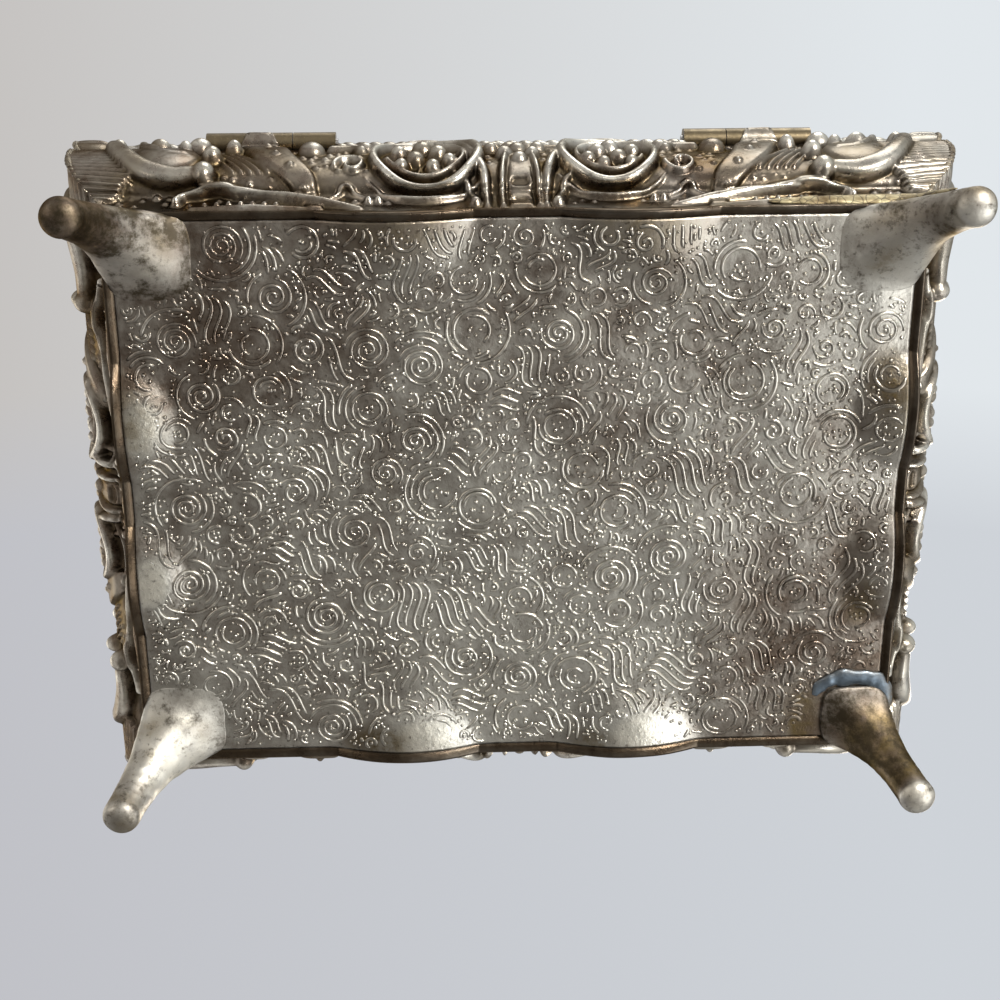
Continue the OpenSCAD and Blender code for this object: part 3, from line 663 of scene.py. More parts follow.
def motif_lines(seed):
    """Fills the plate with spirals, eyes and waves, then runs loose arcs between them. A raster of
    what is taken keeps lines apart. Gives the lines' points, and x, y and size of the pearls."""
    draw = np.random.default_rng(seed)
    step = 0.2
    half = np.array([PLATE[1, 0] - 0.6, PLATE[1, 1] - 0.6])
    gx = np.arange(-half[0], half[0], step)
    gy = np.arange(-half[1], half[1], step)
    taken = foot_near(gx[:, None], gy[None, :]) < -0.06
    lines, pearls = [], []

    def disc(x, y, r):
        i0, i1 = np.searchsorted(gx, [x - r, x + r])
        j0, j1 = np.searchsorted(gy, [y - r, y + r])
        return (i0, i1, j0, j1), (gx[i0:i1, None] - x) ** 2 + (gy[None, j0:j1] - y) ** 2 < r * r

    def free(x, y, r, mark=0.0):
        if abs(x) + r * 0.6 > half[0] or abs(y) + r * 0.6 > half[1]:
            return False
        (i0, i1, j0, j1), inside = disc(x, y, r)
        if (taken[i0:i1, j0:j1] & inside).any():
            return False
        if mark:
            (i0, i1, j0, j1), inside = disc(x, y, mark)
            taken[i0:i1, j0:j1] |= inside
        return True

    def trace(path, gap, least):
        """Keeps the longest stretch of a path that is free, and takes a strip along it."""
        i = np.clip(((path[:, 0] + half[0]) / step + 0.5).astype(int), 0, len(gx) - 1)
        j = np.clip(((path[:, 1] + half[1]) / step + 0.5).astype(int), 0, len(gy) - 1)
        good = ~taken[i, j] & (np.abs(path[:, 0]) < half[0]) & (np.abs(path[:, 1]) < half[1])
        edges = np.flatnonzero(np.diff(np.concatenate([[0], good.astype(int), [0]])))
        if len(edges) == 0:
            return False
        k = int(np.argmax(edges[1::2] - edges[::2]))
        part = path[edges[2 * k]:edges[2 * k + 1]]
        if len(part) < 5 or np.hypot(*np.diff(part, axis=0).T).sum() < least:
            return False
        for x, y in part:
            (i0, i1, j0, j1), inside = disc(x, y, gap)
            taken[i0:i1, j0:j1] |= inside
        lines.append(part)
        return True

    def wave_group(x, y, turn, long, count, gap):
        c, s = np.cos(turn), np.sin(turn)
        swing = long * draw.uniform(0.10, 0.17)
        q = np.linspace(-long / 2, long / 2, int(6 + long * 3.2))
        for k in range(count):
            ends = draw.uniform(0.0, 0.9, 2)
            r = q[(q > -long / 2 + ends[0]) & (q < long / 2 - ends[1])]
            w = (k - (count - 1) / 2) * gap + swing * np.sin((r + 0.5 * k) / long * 2 * np.pi)
            trace(np.stack([x + c * r - s * w, y + s * r + c * w], 1), gap * 0.55, 1.2)

    def roundel(x, y, r):
        turn, hand = draw.uniform(0, 360), (1 if draw.random() < 0.5 else -1)
        kind = draw.random()
        if kind < 0.45 and r > 0.9:
            turns = (r - 0.15) / draw.uniform(0.66, 0.8) * 360
            n = int(10 + turns / 360 * r * 8)
            lines.append(arc(x, y, 0.15, turn, turn + hand * turns, n, grow=r - 0.15))
        else:
            lines.append(arc(x, y, r, turn, turn + hand * draw.uniform(190, 340), int(8 + r * 14),
                             grow=-0.15))
            room = r - 0.5
            while room > 1.1:
                room -= draw.uniform(0.1, 0.35)
                lines.append(arc(x, y, room, turn + 140, turn + 140 + hand * draw.uniform(90, 300),
                                 int(8 + room * 12), grow=0.1))
                turn += draw.uniform(60, 200)
                room -= 0.55
            count = int(draw.integers(2, 5)) if room > 0.5 else 1
            for k in range(count):
                t = np.radians(turn + k * 360 / count)
                q = room * (0.6 if count > 1 else 0.0)
                pearls.append((x + q * np.cos(t), y + q * np.sin(t), draw.uniform(0.85, 1.3)))
        for k in range(1, 3 if r > 1.3 else 2):
            if draw.random() < 0.75:
                start = draw.uniform(0, 360)
                trace(arc(x, y, r + 0.66 * k, start, start + draw.uniform(60, 170),
                          int(12 + r * 12)), 0.36, 1.0)

    for size, tries, groups in ((2.2, 50, 70), (1.75, 160, 80), (1.35, 400, 60)):
        for _ in range(tries):
            x, y = draw.uniform(-half[0], half[0]), draw.uniform(-half[1], half[1])
            r = size * draw.uniform(0.86, 1.12)
            if free(x, y, r + 0.2, r + 0.36):
                roundel(x, y, r)
        for _ in range(groups):
            wave_group(draw.uniform(-40, 40), draw.uniform(-29, 29), draw.normal(0.9, 0.5),
                       draw.uniform(3.5, 8.0), int(draw.integers(2, 5)), draw.uniform(0.66, 0.84))
    for size, tries in ((1.0, 2000), (0.72, 2800), (0.5, 2600)):
        for _ in range(tries):
            x, y = draw.uniform(-half[0], half[0]), draw.uniform(-half[1], half[1])
            r = size * draw.uniform(0.85, 1.15)
            if free(x, y, r + 0.06, r + 0.3):
                roundel(x, y, r)
    for _ in range(5200):
        x, y = draw.uniform(-half[0], half[0]), draw.uniform(-half[1], half[1])
        bow, start = draw.uniform(0.6, 3.2), draw.uniform(0, 360)
        stop = start + np.degrees(draw.uniform(0.9, 3.2) / bow)
        trace(arc(x, y, bow, start, stop, 14), 0.32, 0.55)
    for _ in range(16000):
        x, y = draw.uniform(-half[0], half[0]), draw.uniform(-half[1], half[1])
        if free(x, y, 0.1, 0.33):
            pearls.append((x, y, draw.uniform(0.6, 1.3)))
    return lines, pearls


def line_fade(x, y):
    """Lines die away near the feet and on the rubbed front lobes."""
    near = smooth(foot_near(x, y) / 0.35 + 0.05) * (1 - np.clip(lobe_highlight_and_wear(x, y) * 1.5, 0, 1))
    rubbed = 1 - 0.75 * smooth((swelling(x, y) / LOBE_DROP - 0.35) / 0.4) * smooth((-y - 4.0) / 8.0)
    left = 1 - 0.6 * smooth((swelling(x, y) / LOBE_DROP - 0.3) / 0.4) * smooth((x - 30.0) / 4.0)
    worn = 0.72 + 0.4 * smooth(0.5 + 0.9 * waves(x, y, 41, 13.0))
    return near * rubbed * left * worn


def raised_line(path, wide, tall, draw):
    """A half-round section of five points carried along a path, tapered at both ends."""
    across = np.array([1.3, 0.72, 0.0, -0.72, -1.3])
    lift = np.array([-0.15, 0.62, 1.0, 0.62, -0.15])
    along = unit(np.gradient(path, axis=0))
    side = np.stack([-along[:, 1], along[:, 0]], 1)
    share = np.linspace(0, 1, len(path))
    taper = np.clip(np.minimum(share, 1 - share) * len(path) / 2.2, 0.12, 1)
    fade = line_fade(path[:, 0], path[:, 1])
    w = wide * (0.55 + 0.45 * taper) * draw.uniform(0.85, 1.15)
    h = tall * taper * fade * draw.uniform(0.8, 1.2)
    xy = path[:, None, :] + side[:, None, :] * (across[:, None] * w[:, None, None])
    z = ground(path[:, 0], path[:, 1])[:, None] - lift * np.maximum(h, 0.004)[:, None]
    z = z + np.where(fade < 0.12, 0.05, 0.0)[:, None]
    return closed_tube(np.concatenate([xy, z[..., None]], -1))


def pearl_domes(pearls, ball, tall):
    """Small domes, each of a pole and two rings of seven points."""
    fade = line_fade(pearls[:, 0], pearls[:, 1])
    pearls, fade = pearls[fade > 0.15], fade[fade > 0.15]
    k = np.arange(7)
    a, following = k * 2 * np.pi / 7, (k + 1) % 7
    dome = np.vstack([[[0, 0, 1.0]],
                      np.stack([0.6 * np.cos(a), 0.6 * np.sin(a), 0 * a + 0.75], 1),
                      np.stack([np.cos(a), np.sin(a), 0 * a - 0.25], 1)])
    foot, size = pearls[:, None, :2], pearls[:, 2]
    xy = foot + dome[:, :2] * (ball * size)[:, None, None]
    rise = 1.1 * tall * fade * np.sqrt(size)
    z = ground(*pearls[:, :2].T)[:, None] - dome[:, 2] * rise[:, None]
    base = 15 * np.arange(len(pearls))[:, None, None]
    kinds = (np.stack([1 + k, 1 + following, 8 + following, 8 + k], 1),
             np.stack([0 * k, 1 + following, 1 + k], 1), 8 + k[None])
    return (np.concatenate([xy, z[..., None]], -1).reshape(-1, 3),
            [(kind + base).reshape(-1, kind.shape[1]) for kind in kinds])


def make_lines():
    """Fine raised lines along the motifs' paths, laid on the ground, with pearls between them."""
    s = sizes()
    lines, pearls = motif_lines(s.seed)
    pearls = np.array(pearls)
    wide, tall, ball = mm(s.line_width) / 2, mm(s.line_height), mm(s.pearl)
    draw = np.random.default_rng(s.seed + 1)
    strokes = {"back": [], "front": []}
    for path in lines:
        path = path[(np.abs(path) < PLATE[1, :2] - 0.3).all(1)]
        if len(path) > 5:
            half = "back" if path[:, 1].mean() > 0 else "front"
            strokes[half].append(raised_line(path, wide, tall, draw))
    for half, keep in (("back", pearls[:, 1] > 0), ("front", pearls[:, 1] <= 0)):
        points, faces = joined(strokes[half])
        domes, dome_faces = pearl_domes(pearls[keep], ball, tall)
        faces += [kind + len(points) for kind in dome_faces]
        points = np.vstack([points, domes])
        x, y, z = points.T
        fields = {"tone": underside_tone(x, y), "stain": 0.5 * underside_stain(x, y),
                  "wear_and_painted_light": np.clip((ground(x, y) - z) / tall, 0, 1) * 0.42 - 0.06}
        piece("underside_lines_" + half, (points, faces), "line_silver", "box",
              fields)


# ---------------------------------------------------------------- walls

def wall_section(rows):
    """Outer section of a wall, as distance out and height over the plate's underside: a hollow
    cove, a full swell, a straight fall-back and a round rim bead; rows are even along its length.
    Gives out, height, the two parts of the outward direction, and the run up the section."""
    a = np.linspace(0, np.pi / 2, 60)
    bead = 2 * a - np.pi / 2
    line = np.vstack([np.stack([1.1 * (1 - np.cos(a)), 4 * np.sin(a)], 1),
                      np.stack([1.1 + 2.8 * np.sin(a), 11 - 7 * np.cos(a)], 1),
                      [[3.9, 11.0], [3.3, 15.8]],
                      np.stack([3.3 + 0.6 * np.cos(bead), 16.4 + 0.6 * np.sin(bead)], 1)])
    run = run_along(line)
    at = np.linspace(0, run[-1], rows)
    o, h = np.interp(at, run, line[:, 0]), np.interp(at, run, line[:, 1])
    wide = rows // 9
    soft = np.hanning(2 * wide + 1)
    no, nh = (np.convolve(np.pad(v, wide, mode="edge"), soft / soft.sum(), "valid")
              for v in (np.gradient(h), -np.gradient(o)))
    size = np.hypot(no, nh)
    return np.array([o, h, no / size, nh / size, at])


class WallRelief(Relief):
    """Raster of one wall: x along it and the run up its section. Heights are turned into that run,
    so that round shapes stay round on the swell; flat=True takes the run itself."""

    def __init__(self, half):
        self.high, self.run = wall_section(400)[[1, 4]]
        super().__init__(-half - 5.5, half + 5.5, 0.0, self.run[-1] + 0.4, 0.1)

    def stroke(self, path, *rest, flat=False, **more):
        path = np.array(path, float)
        if not flat:
            path[:, 1] = np.interp(path[:, 1], self.high, self.run)
        super().stroke(path, *rest, **more)

    def pearl(self, x, y, *rest, flat=False, **more):
        super().pearl(x, y if flat else np.interp(y, self.high, self.run), *rest, **more)


def draw_strap(m):
    """Strap up the middle of a wall, with two stems, two slots and a cluster of balls."""
    for x, lean in ((-2.3, 0.5), (1.4, -0.5)):
        m.stroke(bend((x, 0.2), (x, 4.5), (x + lean, 8.6)), 0.75, (0.5, 1.0, 0.9))
    m.stroke([(-0.45, 0.2), (-0.45, 8.5)], 2.6, 0.42, 6)
    for y in (2.5, 4.3):
        m.stroke([(-0.95, y), (0.1, y)], 0.85, 0.75, cut=True)
    for x, y, r in ((-0.5, 7.4, 0.95), (-1.9, 8.9, 0.9), (1.0, 9.2, 1.0), (-0.4, 10.8, 1.1),
                    (2.4, 11.4, 0.9), (-2.6, 11.9, 1.0), (0.3, 13.4, 1.15), (-1.7, 15.2, 1.0),
                    (1.9, 15.4, 1.0)):
        m.pearl(x, y, r, 1.15)


def draw_round_scroll(m, side, c, r):
    """Stem from the strap into the round scroll, and its shell: two spiral rims, beads and rays."""
    m.stroke(bend((side * 3.0, 0.5), (side * 3.2, 4.4), (side * 4.4, 8.2), (side * 6.0, 12.6),
                  (c, 15.4)), (0.7, 1.3, 1.2, 1.0), (0.6, 1.25, 1.1, 1.0))
    m.stroke(bend((side * 4.2, 1.6), (side * 5.0, 4.2), (side * 6.4, 5.4)), (1.4, 0.5), (0.9, 0.4))
    mid = 9.7
    m.stroke(arc(c, mid, r * 1.06, 90 - side * 60, 90 + side * 345, 110, grow=-0.9),
             (0.9, 1.25, 1.2, 0.9), (0.9, 1.5, 1.4, 1.0), 3, flat=True)
    m.stroke(arc(c, mid, r - 1.6, 90 + side * 20, 90 + side * 250, 70), 0.75, 1.0, flat=True)
    m.stroke(arc(c, mid - 0.3, r + 1.35, 210, 330, 50), (0.3, 0.8, 0.8, 0.3),
             (0.2, 0.8, 0.8, 0.2), flat=True)
    for x, y, s in ((-2.6, -1.6, 0.95), (-0.9, -2.7, 1.0), (0.9, -1.2, 1.15), (2.3, -2.5, 0.9),
                    (-1.4, 0.6, 1.1), (2.6, 0.4, 1.0), (0.2, 2.4, 1.2)):
        m.pearl(c + side * x * r / 5.6, mid + y * r / 5.6, s, 1.35, flat=True)
    for a in range(0, 360, 40):
        m.stroke([on_circle(1.6, a, c, mid), on_circle(r - 1.4, a, c, mid)], 0.35, 0.35, flat=True)
    m.stroke(arc(c, 15.0, 3.2, 20, 160, 30, ry=1.2), 0.8, 0.7)
    for x in (0.2, 1.3):
        m.pearl(c + side * (r + 0.2) - side * x * 0.9, 2.7, 0.5, 0.75)


def draw_corner_scrolls(m, side, e, k, slant, curl):
    """Curl, studded band, leaf ridge and the great corner scroll, set off from the corner so that
    two walls meet alike; e is what the wall's half length has over 42 mm, k the curl's place."""
    def end(*points):
        return bend(*[(side * (x + e), y) for x, y in points])

    if curl:
        m.stroke(arc(k, 6.6, 1.7, 0, side * 400, 50, grow=-1.3), (0.8, 0.5), 0.75)
        m.stroke(bend((k - side * 1.9, 3.0), (k + side * 0.4, 4.2), (k + side * 2.1, 3.2)), 0.6,
                 0.5)
    m.stroke(bend((k - side, 11.4), (k, 12.9), (k + side * 2.2, 12.8)), 1.3, 0.9)
    m.pearl(k - side * 1.2, 14.8, 1.1, 1.2)
    m.pearl(k + side * 1.3, 15.1, 1.0, 1.1)
    top, foot = side * (27.2 + e) - side * slant, side * (20.4 + e)
    band = bend((foot, 0.8), (foot + side * 1.2, 4.0), ((top + foot) / 2 + side, 8.4), (top, 15.6))
    m.stroke(band, (1.6, 3.0, 4.4, 4.6), (0.35, 0.75, 0.85, 0.9), 8)
    for share in (0.2, 0.36, 0.52, 0.68, 0.84):
        m.pearl(*band[int(share * (len(band) - 1))], 0.42, 0.4, add=True)
    m.pearl(foot + side * 0.9, 11.4, 1.5, 1.35)
    # long leaf ridge above a hollow with a pearl row
    m.stroke(end((15.8 - e * 0.15, 0.7), (20.5, 2.1), (25.6, 3.5), (30.0, 4.05), (33.6, 3.7),
                 (34.6, 2.4)), (0.4, 1.2, 1.7, 1.7, 1.5, 1.0), (0.3, 1.0, 1.3, 1.3, 1.2, 1.0))
    m.stroke(end((21.0, 0.7), (27.0, 0.9), (33.0, 1.1)), (0.5, 1.0, 0.5), (0.3, 0.6, 0.3))
    for x in np.linspace(24.4, 31.6, 7):
        m.pearl(side * (x + e), 1.75 + 0.4 * np.sin((x - 24.4) / 7.2 * np.pi), 0.4, 0.6)
    for x in np.linspace(0, 3.6, 5):
        m.stroke(end((25.4 + x, 5.6), (26.8 + x, 7.6), (29.2 + x * 0.8, 10.2)), 0.38, 0.45)
    # great corner scroll with its balls
    m.pearl(side * (36.6 + e), 9.6, 3.6, 0.95, ry=4.2)
    m.stroke(end((42.6, 15.2), (41.6, 10.4), (39.2, 6.4), (36.0, 4.9), (32.6, 5.0)),
             (1.9, 2.3, 2.6, 2.4, 1.7), (1.5, 1.7, 1.75, 1.6, 1.4), 3)
    m.pearl(side * (31.9 + e), 5.0, 1.35, 1.9)
    m.stroke(end((39.6, 15.4), (38.6, 12.0), (36.4, 9.6), (34.4, 9.4)), (1.3, 1.1, 0.8),
             (1.5, 1.3, 0.9), 3)
    for x, y, s in ((31.4, 8.4, 1.15), (33.4, 14.4, 1.5), (37.8, 15.2, 1.4),
                    (34.6, 11.8, 0.9), (29.6, 12.6, 1.0), (42.3, 15.5, 1.2)):
        m.pearl(side * (x + e), y, s, 1.3 + 0.35 * s)


def wall_relief(half, scroll_at, scroll_r, lean, slant):
    """Scroll relief of one wall: strap, two round scrolls, two corner groups, a stippled ground and
    the reeds beside the corners."""
    m = WallRelief(half)
    draw_strap(m)
    e = half - HALF_X
    for side, tilt, grow in ((1, 0.0, 1.05), (-1, -lean, 0.94)):
        draw_round_scroll(m, side, side * scroll_at + tilt, scroll_r * grow)
        draw_corner_scrolls(m, side, e, side * (17.0 + e * 0.62) + tilt * 0.5, slant, half > 36)
    draw = np.random.default_rng(int(half))
    for x, y, s in zip(draw.uniform(-half, half, 1500), draw.uniform(2.0, 16.0, 1500),
                       draw.uniform(0.22, 0.42, 1500)):
        i, j = int((x - m.x0) / m.step), int(np.interp(y, m.high, m.run) / m.step)
        if m.z[max(i - 4, 0):i + 5, max(j - 4, 0):j + 5].max() < 0.1:
            m.pearl(x, y, s, 0.75 * s)
    # reeds at the corner: ridges along x, 0.6 mm apart, slanting down to the corner
    y, up = np.interp(m.y, m.run, m.high)[None, :], m.y[None, :]
    inward = half - np.abs(m.x[:, None])
    reach = 1.4 + 3.6 * smooth((y - 3.0) / 4.0)
    field = smooth((reach - inward) / 0.5) * smooth((14.6 - y) / 1.0) \
        * smooth((y - 2.6 - 0.45 * np.clip(inward, -4, 9)) / 0.5)
    reeds = 0.42 + 0.34 * np.abs(np.sin(np.pi * (up + 0.1 * inward) / 0.62))
    ball = np.sqrt(np.clip(1 - ((inward + 2.9) / 2.6) ** 2 - ((y - 14.9) / 1.9) ** 2, 0, 1))
    m.z = np.maximum(np.maximum(blurred(m.z, 2, 2), field * reeds), 1.45 * ball)
    return m


def upright(along_x, along, across, z):
    """Points from places along a wall, across it and up."""
    return np.stack([along, across, z] if along_x else [across, along, z], -1)


def clear_hinge(span, across, up, reach):
    """Which points lie nearer to the hinge line than reach, and the factor that brings each out."""
    away = np.hypot(across, up)
    near = span & (away < reach)
    return near, np.where(near, reach / np.maximum(away, 1e-6), 1.0)


def make_wall(place, half, relief, columns, along_x, sign, lobes, seed):
    """Wall as one closed shell: the section's points pushed out by the relief, carried along it.
    The end x is half + out, so the walls meet on a mitre; x runs left to right, out points away."""
    o, h, no, nh, run = wall_section(126)
    t = np.linspace(-1, 1, columns)
    edge = t[:, None] * (half + o)
    lift = relief.sample(edge, run + 0 * edge) * smooth(h / 0.7)
    out, up = o + lift * no, h + lift * nh
    up = np.minimum(up, WALL_TOP - 0.03 * (1 - np.cos(edge * 2)) / 2)
    x = edge + np.sign(t)[:, None] * lift * no * smooth((np.abs(t)[:, None] - 0.965) / 0.035)
    if place == "back":
        span = np.abs(np.abs(x) - HINGE_AT) < HINGE_HALF
        ro, rh = out - (HINGE_Y - HALF_Y), up - (HINGE_Z - UNDERSIDE)
        near, grow = clear_hinge(span, ro, rh, 1.42)
        out = np.where(near, out + ro * (grow - 1), out)
        up = np.where(near, up + rh * (grow - 1), up)
        up = np.where(span & (out < HINGE_Y - HALF_Y + 0.2), np.minimum(up, 16.5), up)
    lobe = lobe_edge(edge[:, 0], *lobes)
    low = 0.32 + lobe + 0.05 * waves(edge[:, 0], 0.0, seed, 7.0)
    flush = 0.93 * lobe + 0.03
    top = up[:, -1]

    def rows(*profile):
        """Further rows of the loop, from how far out, how high and how long each is."""
        return np.stack([[0 * t + a, 0 * t + b, t * reach] for a, b, reach in profile], -1)

    lip = rows((-0.84, -flush, half), (-0.5, -flush - 0.03, half), (-0.2, -low - 0.04, half),
               (0.1, -low, half), (0.16, -low * 0.55, half))
    inside = rows((2.6, top - 0.02, half + 2.6), (2.0, np.minimum(top, 16.9), half + 2.0),
                  (2.0, 11.0, half + 2.0), (-1.9, 1.52, half - 1.9), (-0.9, 1.5, half - 0.9))
    out, up, x = np.concatenate([lip, np.stack([out, up, x]), inside], -1)
    level = np.pad(lift, ((0, 0), (5, 5)))
    # The lip's low level darkens its tone: painted shadow line along the edge of the plate.
    level[:, :5] = (-0.8, -0.8, -0.3, -0.5, -0.5)
    rings = upright(along_x, x, sign * ((HALF_Y if along_x else HALF_X) + out), UNDERSIDE + up)
    if place == "back":
        # room for the open lid's roll
        above = np.clip(rings[..., 2] - 27.45, 0, None)
        rings[..., 2] -= above * smooth((rings[..., 1] - HINGE_Y) / 0.45)
    shell = closed_tube(rings)
    if (sign < 0) != along_x:
        shell = turned(shell)
    mean = blurred(level, 26)
    wear_and_painted_light = np.clip((level - mean) * 2.2 + level * 0.2 - 0.3, -1, 1)
    tone = 0.27 - 0.005 * (x if along_x else sign * HALF_X) + 0.16 * waves(x, up, seed, 16.0)
    tone = np.clip(tone + 0.1 * waves(x, up, seed + 1, 5.0) + 0.2 * smooth(mean - 0.2), 0, 1)
    stain = 0.36 + 0.3 * waves(x, up, seed + 2, 11.0) - 0.6 * smooth(level - mean)
    stain = np.clip(stain, 0, 1)
    # Lip columns near black with little stain: painted shadow line along the edge of the plate.
    wear_and_painted_light[:, :5], stain[:, :5] = (-0.95, -0.95, -0.9, -0.9, -0.8), 0.1
    piece("wall_relief_" + place, shell, "wall_silver", "box",
          {"tone": tone * smooth(1 + level * 0.9), "wear_and_painted_light": wear_and_painted_light, "stain": stain},
          ("wall_" + place,))


def make_walls():
    """Four mitred walls and their corner seams; opposite walls share one relief."""
    long_side = wall_relief(HALF_X, 9.4, 5.4, 0.6, 0.0)
    short_side = wall_relief(HALF_Y, 7.6, 4.5, 0.0, 0.6)
    make_wall("back", HALF_X, long_side, 600, True, 1, LOBES_LONG, 61)
    make_wall("front", HALF_X, long_side, 600, True, -1, LOBES_LONG, 71)
    make_wall("right", HALF_Y, short_side, 450, False, 1, LOBES_SHORT, 81)
    make_wall("left", HALF_Y, short_side, 450, False, -1, LOBES_SHORT, 91)
    make_seams(long_side)


def make_seams(relief):
    """Soldered seams: a small tube of uneven radius carried up each corner's mitre line, on the
    relief's own height there."""
    section = wall_section(110)
    o, h, no, nh, run = section[:, section[1] < 15.2]
    a = np.linspace(0, 2 * np.pi, 9)[:-1, None]
    out = o - 0.06 + relief.sample(HALF_X + o, run) * no
    shells = []
    for i, (sx, sy) in enumerate(CORNERS):
        radius = mm(sizes().seam) * (0.9 + 0.28 * waves(h, 0.0, 50 + i, 3.0))
        across = np.array([sx, -sy, 0.0]) / math.sqrt(2)
        proud = np.stack([sx * no / math.sqrt(2), sy * no / math.sqrt(2), nh], 1)[:, None, :]
        centre = np.stack([sx * (HALF_X + out), sy * (HALF_Y + out), UNDERSIDE + h], 1)[:, None, :]
        rings = centre + radius[:, None, None] * (1.25 * np.cos(a) * across + np.sin(a) * proud)
        shells.append(turned(closed_tube(rings)) if sx * sy > 0 else closed_tube(rings))
    piece("corner_seams", joined(shells), "corner_seam", "box")


# ---------------------------------------------------------------- feet

def foot_rings(mended):
    """Rings of a horn foot from root to flat end: inner reach, outer reach, height, squareness.
    The inner side flares into the plate, the outer side leans out past the corner."""
    t = np.linspace(0, 1, 64)
    tip = mm(sizes().foot_tip)
    flare = -3.5 + 5.0 * t ** 0.62 - (2.0 + 3.5 * (1 - t) ** 2.4)
    inner = flare + (3.5 - 2 * tip) * t ** 2 * 0.5
    outer = 3.5 * t ** 0.85
    if mended:
        swell = np.exp(-((t - 0.055) / 0.05) ** 2)
        inner = inner + 0.9 * (1 - smooth(t / 0.05)) + 0.9 - 0.45 * swell
        inner = np.minimum(inner, flare + 1.2 * (1 - t))
    else:
        inner = inner - 0.5 * np.exp(-t / 0.03)
    z = UNDERSIDE - 9.66 * t
    a = np.linspace(0.1, np.pi / 2 - 0.06, 14)
    mid, close = (inner[-1] + outer[-1]) / 2, (outer[-1] - inner[-1]) / 2 * np.cos(a)
    drop = z[-1] * (1 - np.sin(a)) * (1 - np.linspace(0, 1, 14) ** 8)
    return (np.concatenate([inner, mid - close]), np.concatenate([outer, mid + close]),
            np.concatenate([z, drop]),
            np.concatenate([3.4 - 1.4 * smooth(t / 0.45), np.full(14, 2.0)]))


def make_feet():
    """Each foot is a stack of superellipse rings: (|cos| to 2/n, |sin| to 2/n), n falling from a
    squarish root to a round tip."""
    for name, sx, sy in (("foot_front_left", -1, -1), ("foot_front_right", 1, -1),
                         ("foot_back_right", 1, 1), ("foot_back_left", -1, 1)):
        mended = name == "foot_front_left"
        inner, outer, z, square = (v[:, None] for v in foot_rings(mended))
        ex, ey = squarish(np.linspace(0, 2 * np.pi, 97)[None, :-1], square)
        mid, half = (inner + outer) / 2, (outer - inner) / 2
        z = z + 0 * ex
        cx, cy = sx * (HALF_X + mid), sy * (HALF_Y + mid)
        x, y = cx + sx * half * ex, cy + sy * half * ey
        lump = 1 + 0.012 * waves(x, y + 3 * z, 17, 5.0)
        x, y = cx + (x - cx) * lump, cy + (y - cy) * lump
        dip = ground(np.clip(x, -41, 41), np.clip(y, -30, 30)) - UNDERSIDE
        dip = np.where(z > UNDERSIDE - 1.4, dip, 0)
        z = z + smooth(1 - (UNDERSIDE - z) / 0.8) * (dip + 0.12)
        shell = closed_tube(np.stack([x, y, z], -1))
        if sx * sy < 0:
            shell = turned(shell)
        down = np.linspace(0, 1, len(z))[:, None] + 0 * x
        if mended:
            tone = 0.30 - 0.2 * smooth(down / 0.25) + 0.6 * smooth((down - 0.78) / 0.1)
            wear_and_painted_light = np.where(down > 0.84, 0.5, -0.1) + 0 * x
            stain = smooth((down - 0.03) / 0.2) * (1 - 0.8 * smooth((down - 0.72) / 0.1))
        else:
            join = 1 - smooth((UNDERSIDE - z - 0.15) / 1.6)
            # Each foot's brightness as it looks lit: painted light and shade on one metal.
            bright = {"foot_front_right": 1.15, "foot_back_left": 0.95}.get(name, 0.45)
            # Painted highlight on the tip of the back left foot, in the tone and in the wear field.
            tip = 0.3 * (name == "foot_back_left") * smooth((down - 0.6) / 0.2)
            tone = np.clip(bright + tip - (0.5 - 0.2 * (sy < 0)) * smooth((down - 0.2) / 0.45)
                           + 0.16 * waves(x, z + y, 100 + sx + 2 * sy, 6.0), 0, 1)
            base = underside_tone(np.clip(x, -40, 40), np.clip(y, -29, 29))
            tone = tone * (1 - join) + base * join
            wear_and_painted_light = 0.5 * (sy < 0) + 0.15 - 0.6 * down + 2.0 * tip
            wear_and_painted_light = np.clip(wear_and_painted_light + 0.25 * waves(x + y, z, 110 + sx, 7.0), -0.5, 0.9)
            wear_and_painted_light = wear_and_painted_light * (1 - join) - 0.1 * join
            stain = np.clip(0.3 + 0.35 * waves(x, y + z, 120 + sx * sy, 5.0), 0, 1) * (1 - join)
        piece(name + "_horn", shell, "foot_silver", "box",
              {"tone": tone, "wear_and_painted_light": wear_and_painted_light, "stain": stain}, (name,))


def tube(path, wide, tall, out):
    """Closed tube along a path: an oval wide across and tall along the outward direction."""
    along = unit(np.gradient(path, axis=0))
    out = unit(out - (out * along).sum(1)[:, None] * along)
    side = np.cross(along, out)
    b = np.linspace(0, 2 * np.pi, 13)[:-1, None]
    return closed_tube(path[:, None] + side[:, None] * (np.cos(b) * wide[:, None, None])
                       + out[:, None] * (np.sin(b) * tall[:, None, None]))


def make_back_band():
    """Old solder along the back joint and up the edge of the foot beside it: an uneven tube."""
    inner, outer, z, _ = foot_rings(False)
    t = np.linspace(5, 44, 14).astype(int)
    mid = (inner + outer) / 2
    foot = np.stack([-(HALF_X + 0.85 * mid[t]), HALF_Y + outer[t] + 0.12, z[t] + 0.1], 1)
    joint = np.array([(x, 31.42, UNDERSIDE + 0.42) for x in np.linspace(-25.5, -40.8, 14)])
    line = np.vstack([joint, foot])
    run = run_along(line)
    at = np.linspace(0, run[-1], 150)
    path = np.stack([np.interp(at, run, line[:, k]) for k in range(3)], 1)
    soften(path, 8)
    body = np.sin(np.pi * np.clip(np.linspace(0, 1, 150), 0.004, 0.996)) ** 0.4
    wide = body * (0.78 + 0.12 * waves(at, 0.0, 171, 2.4))
    tall = body * (0.36 + 0.08 * waves(at, 1.0, 172, 1.7))
    piece("solder_band", tube(path, wide, tall, np.array([[0.0, 0.87, -0.5]])), "solder_band",
          "box")


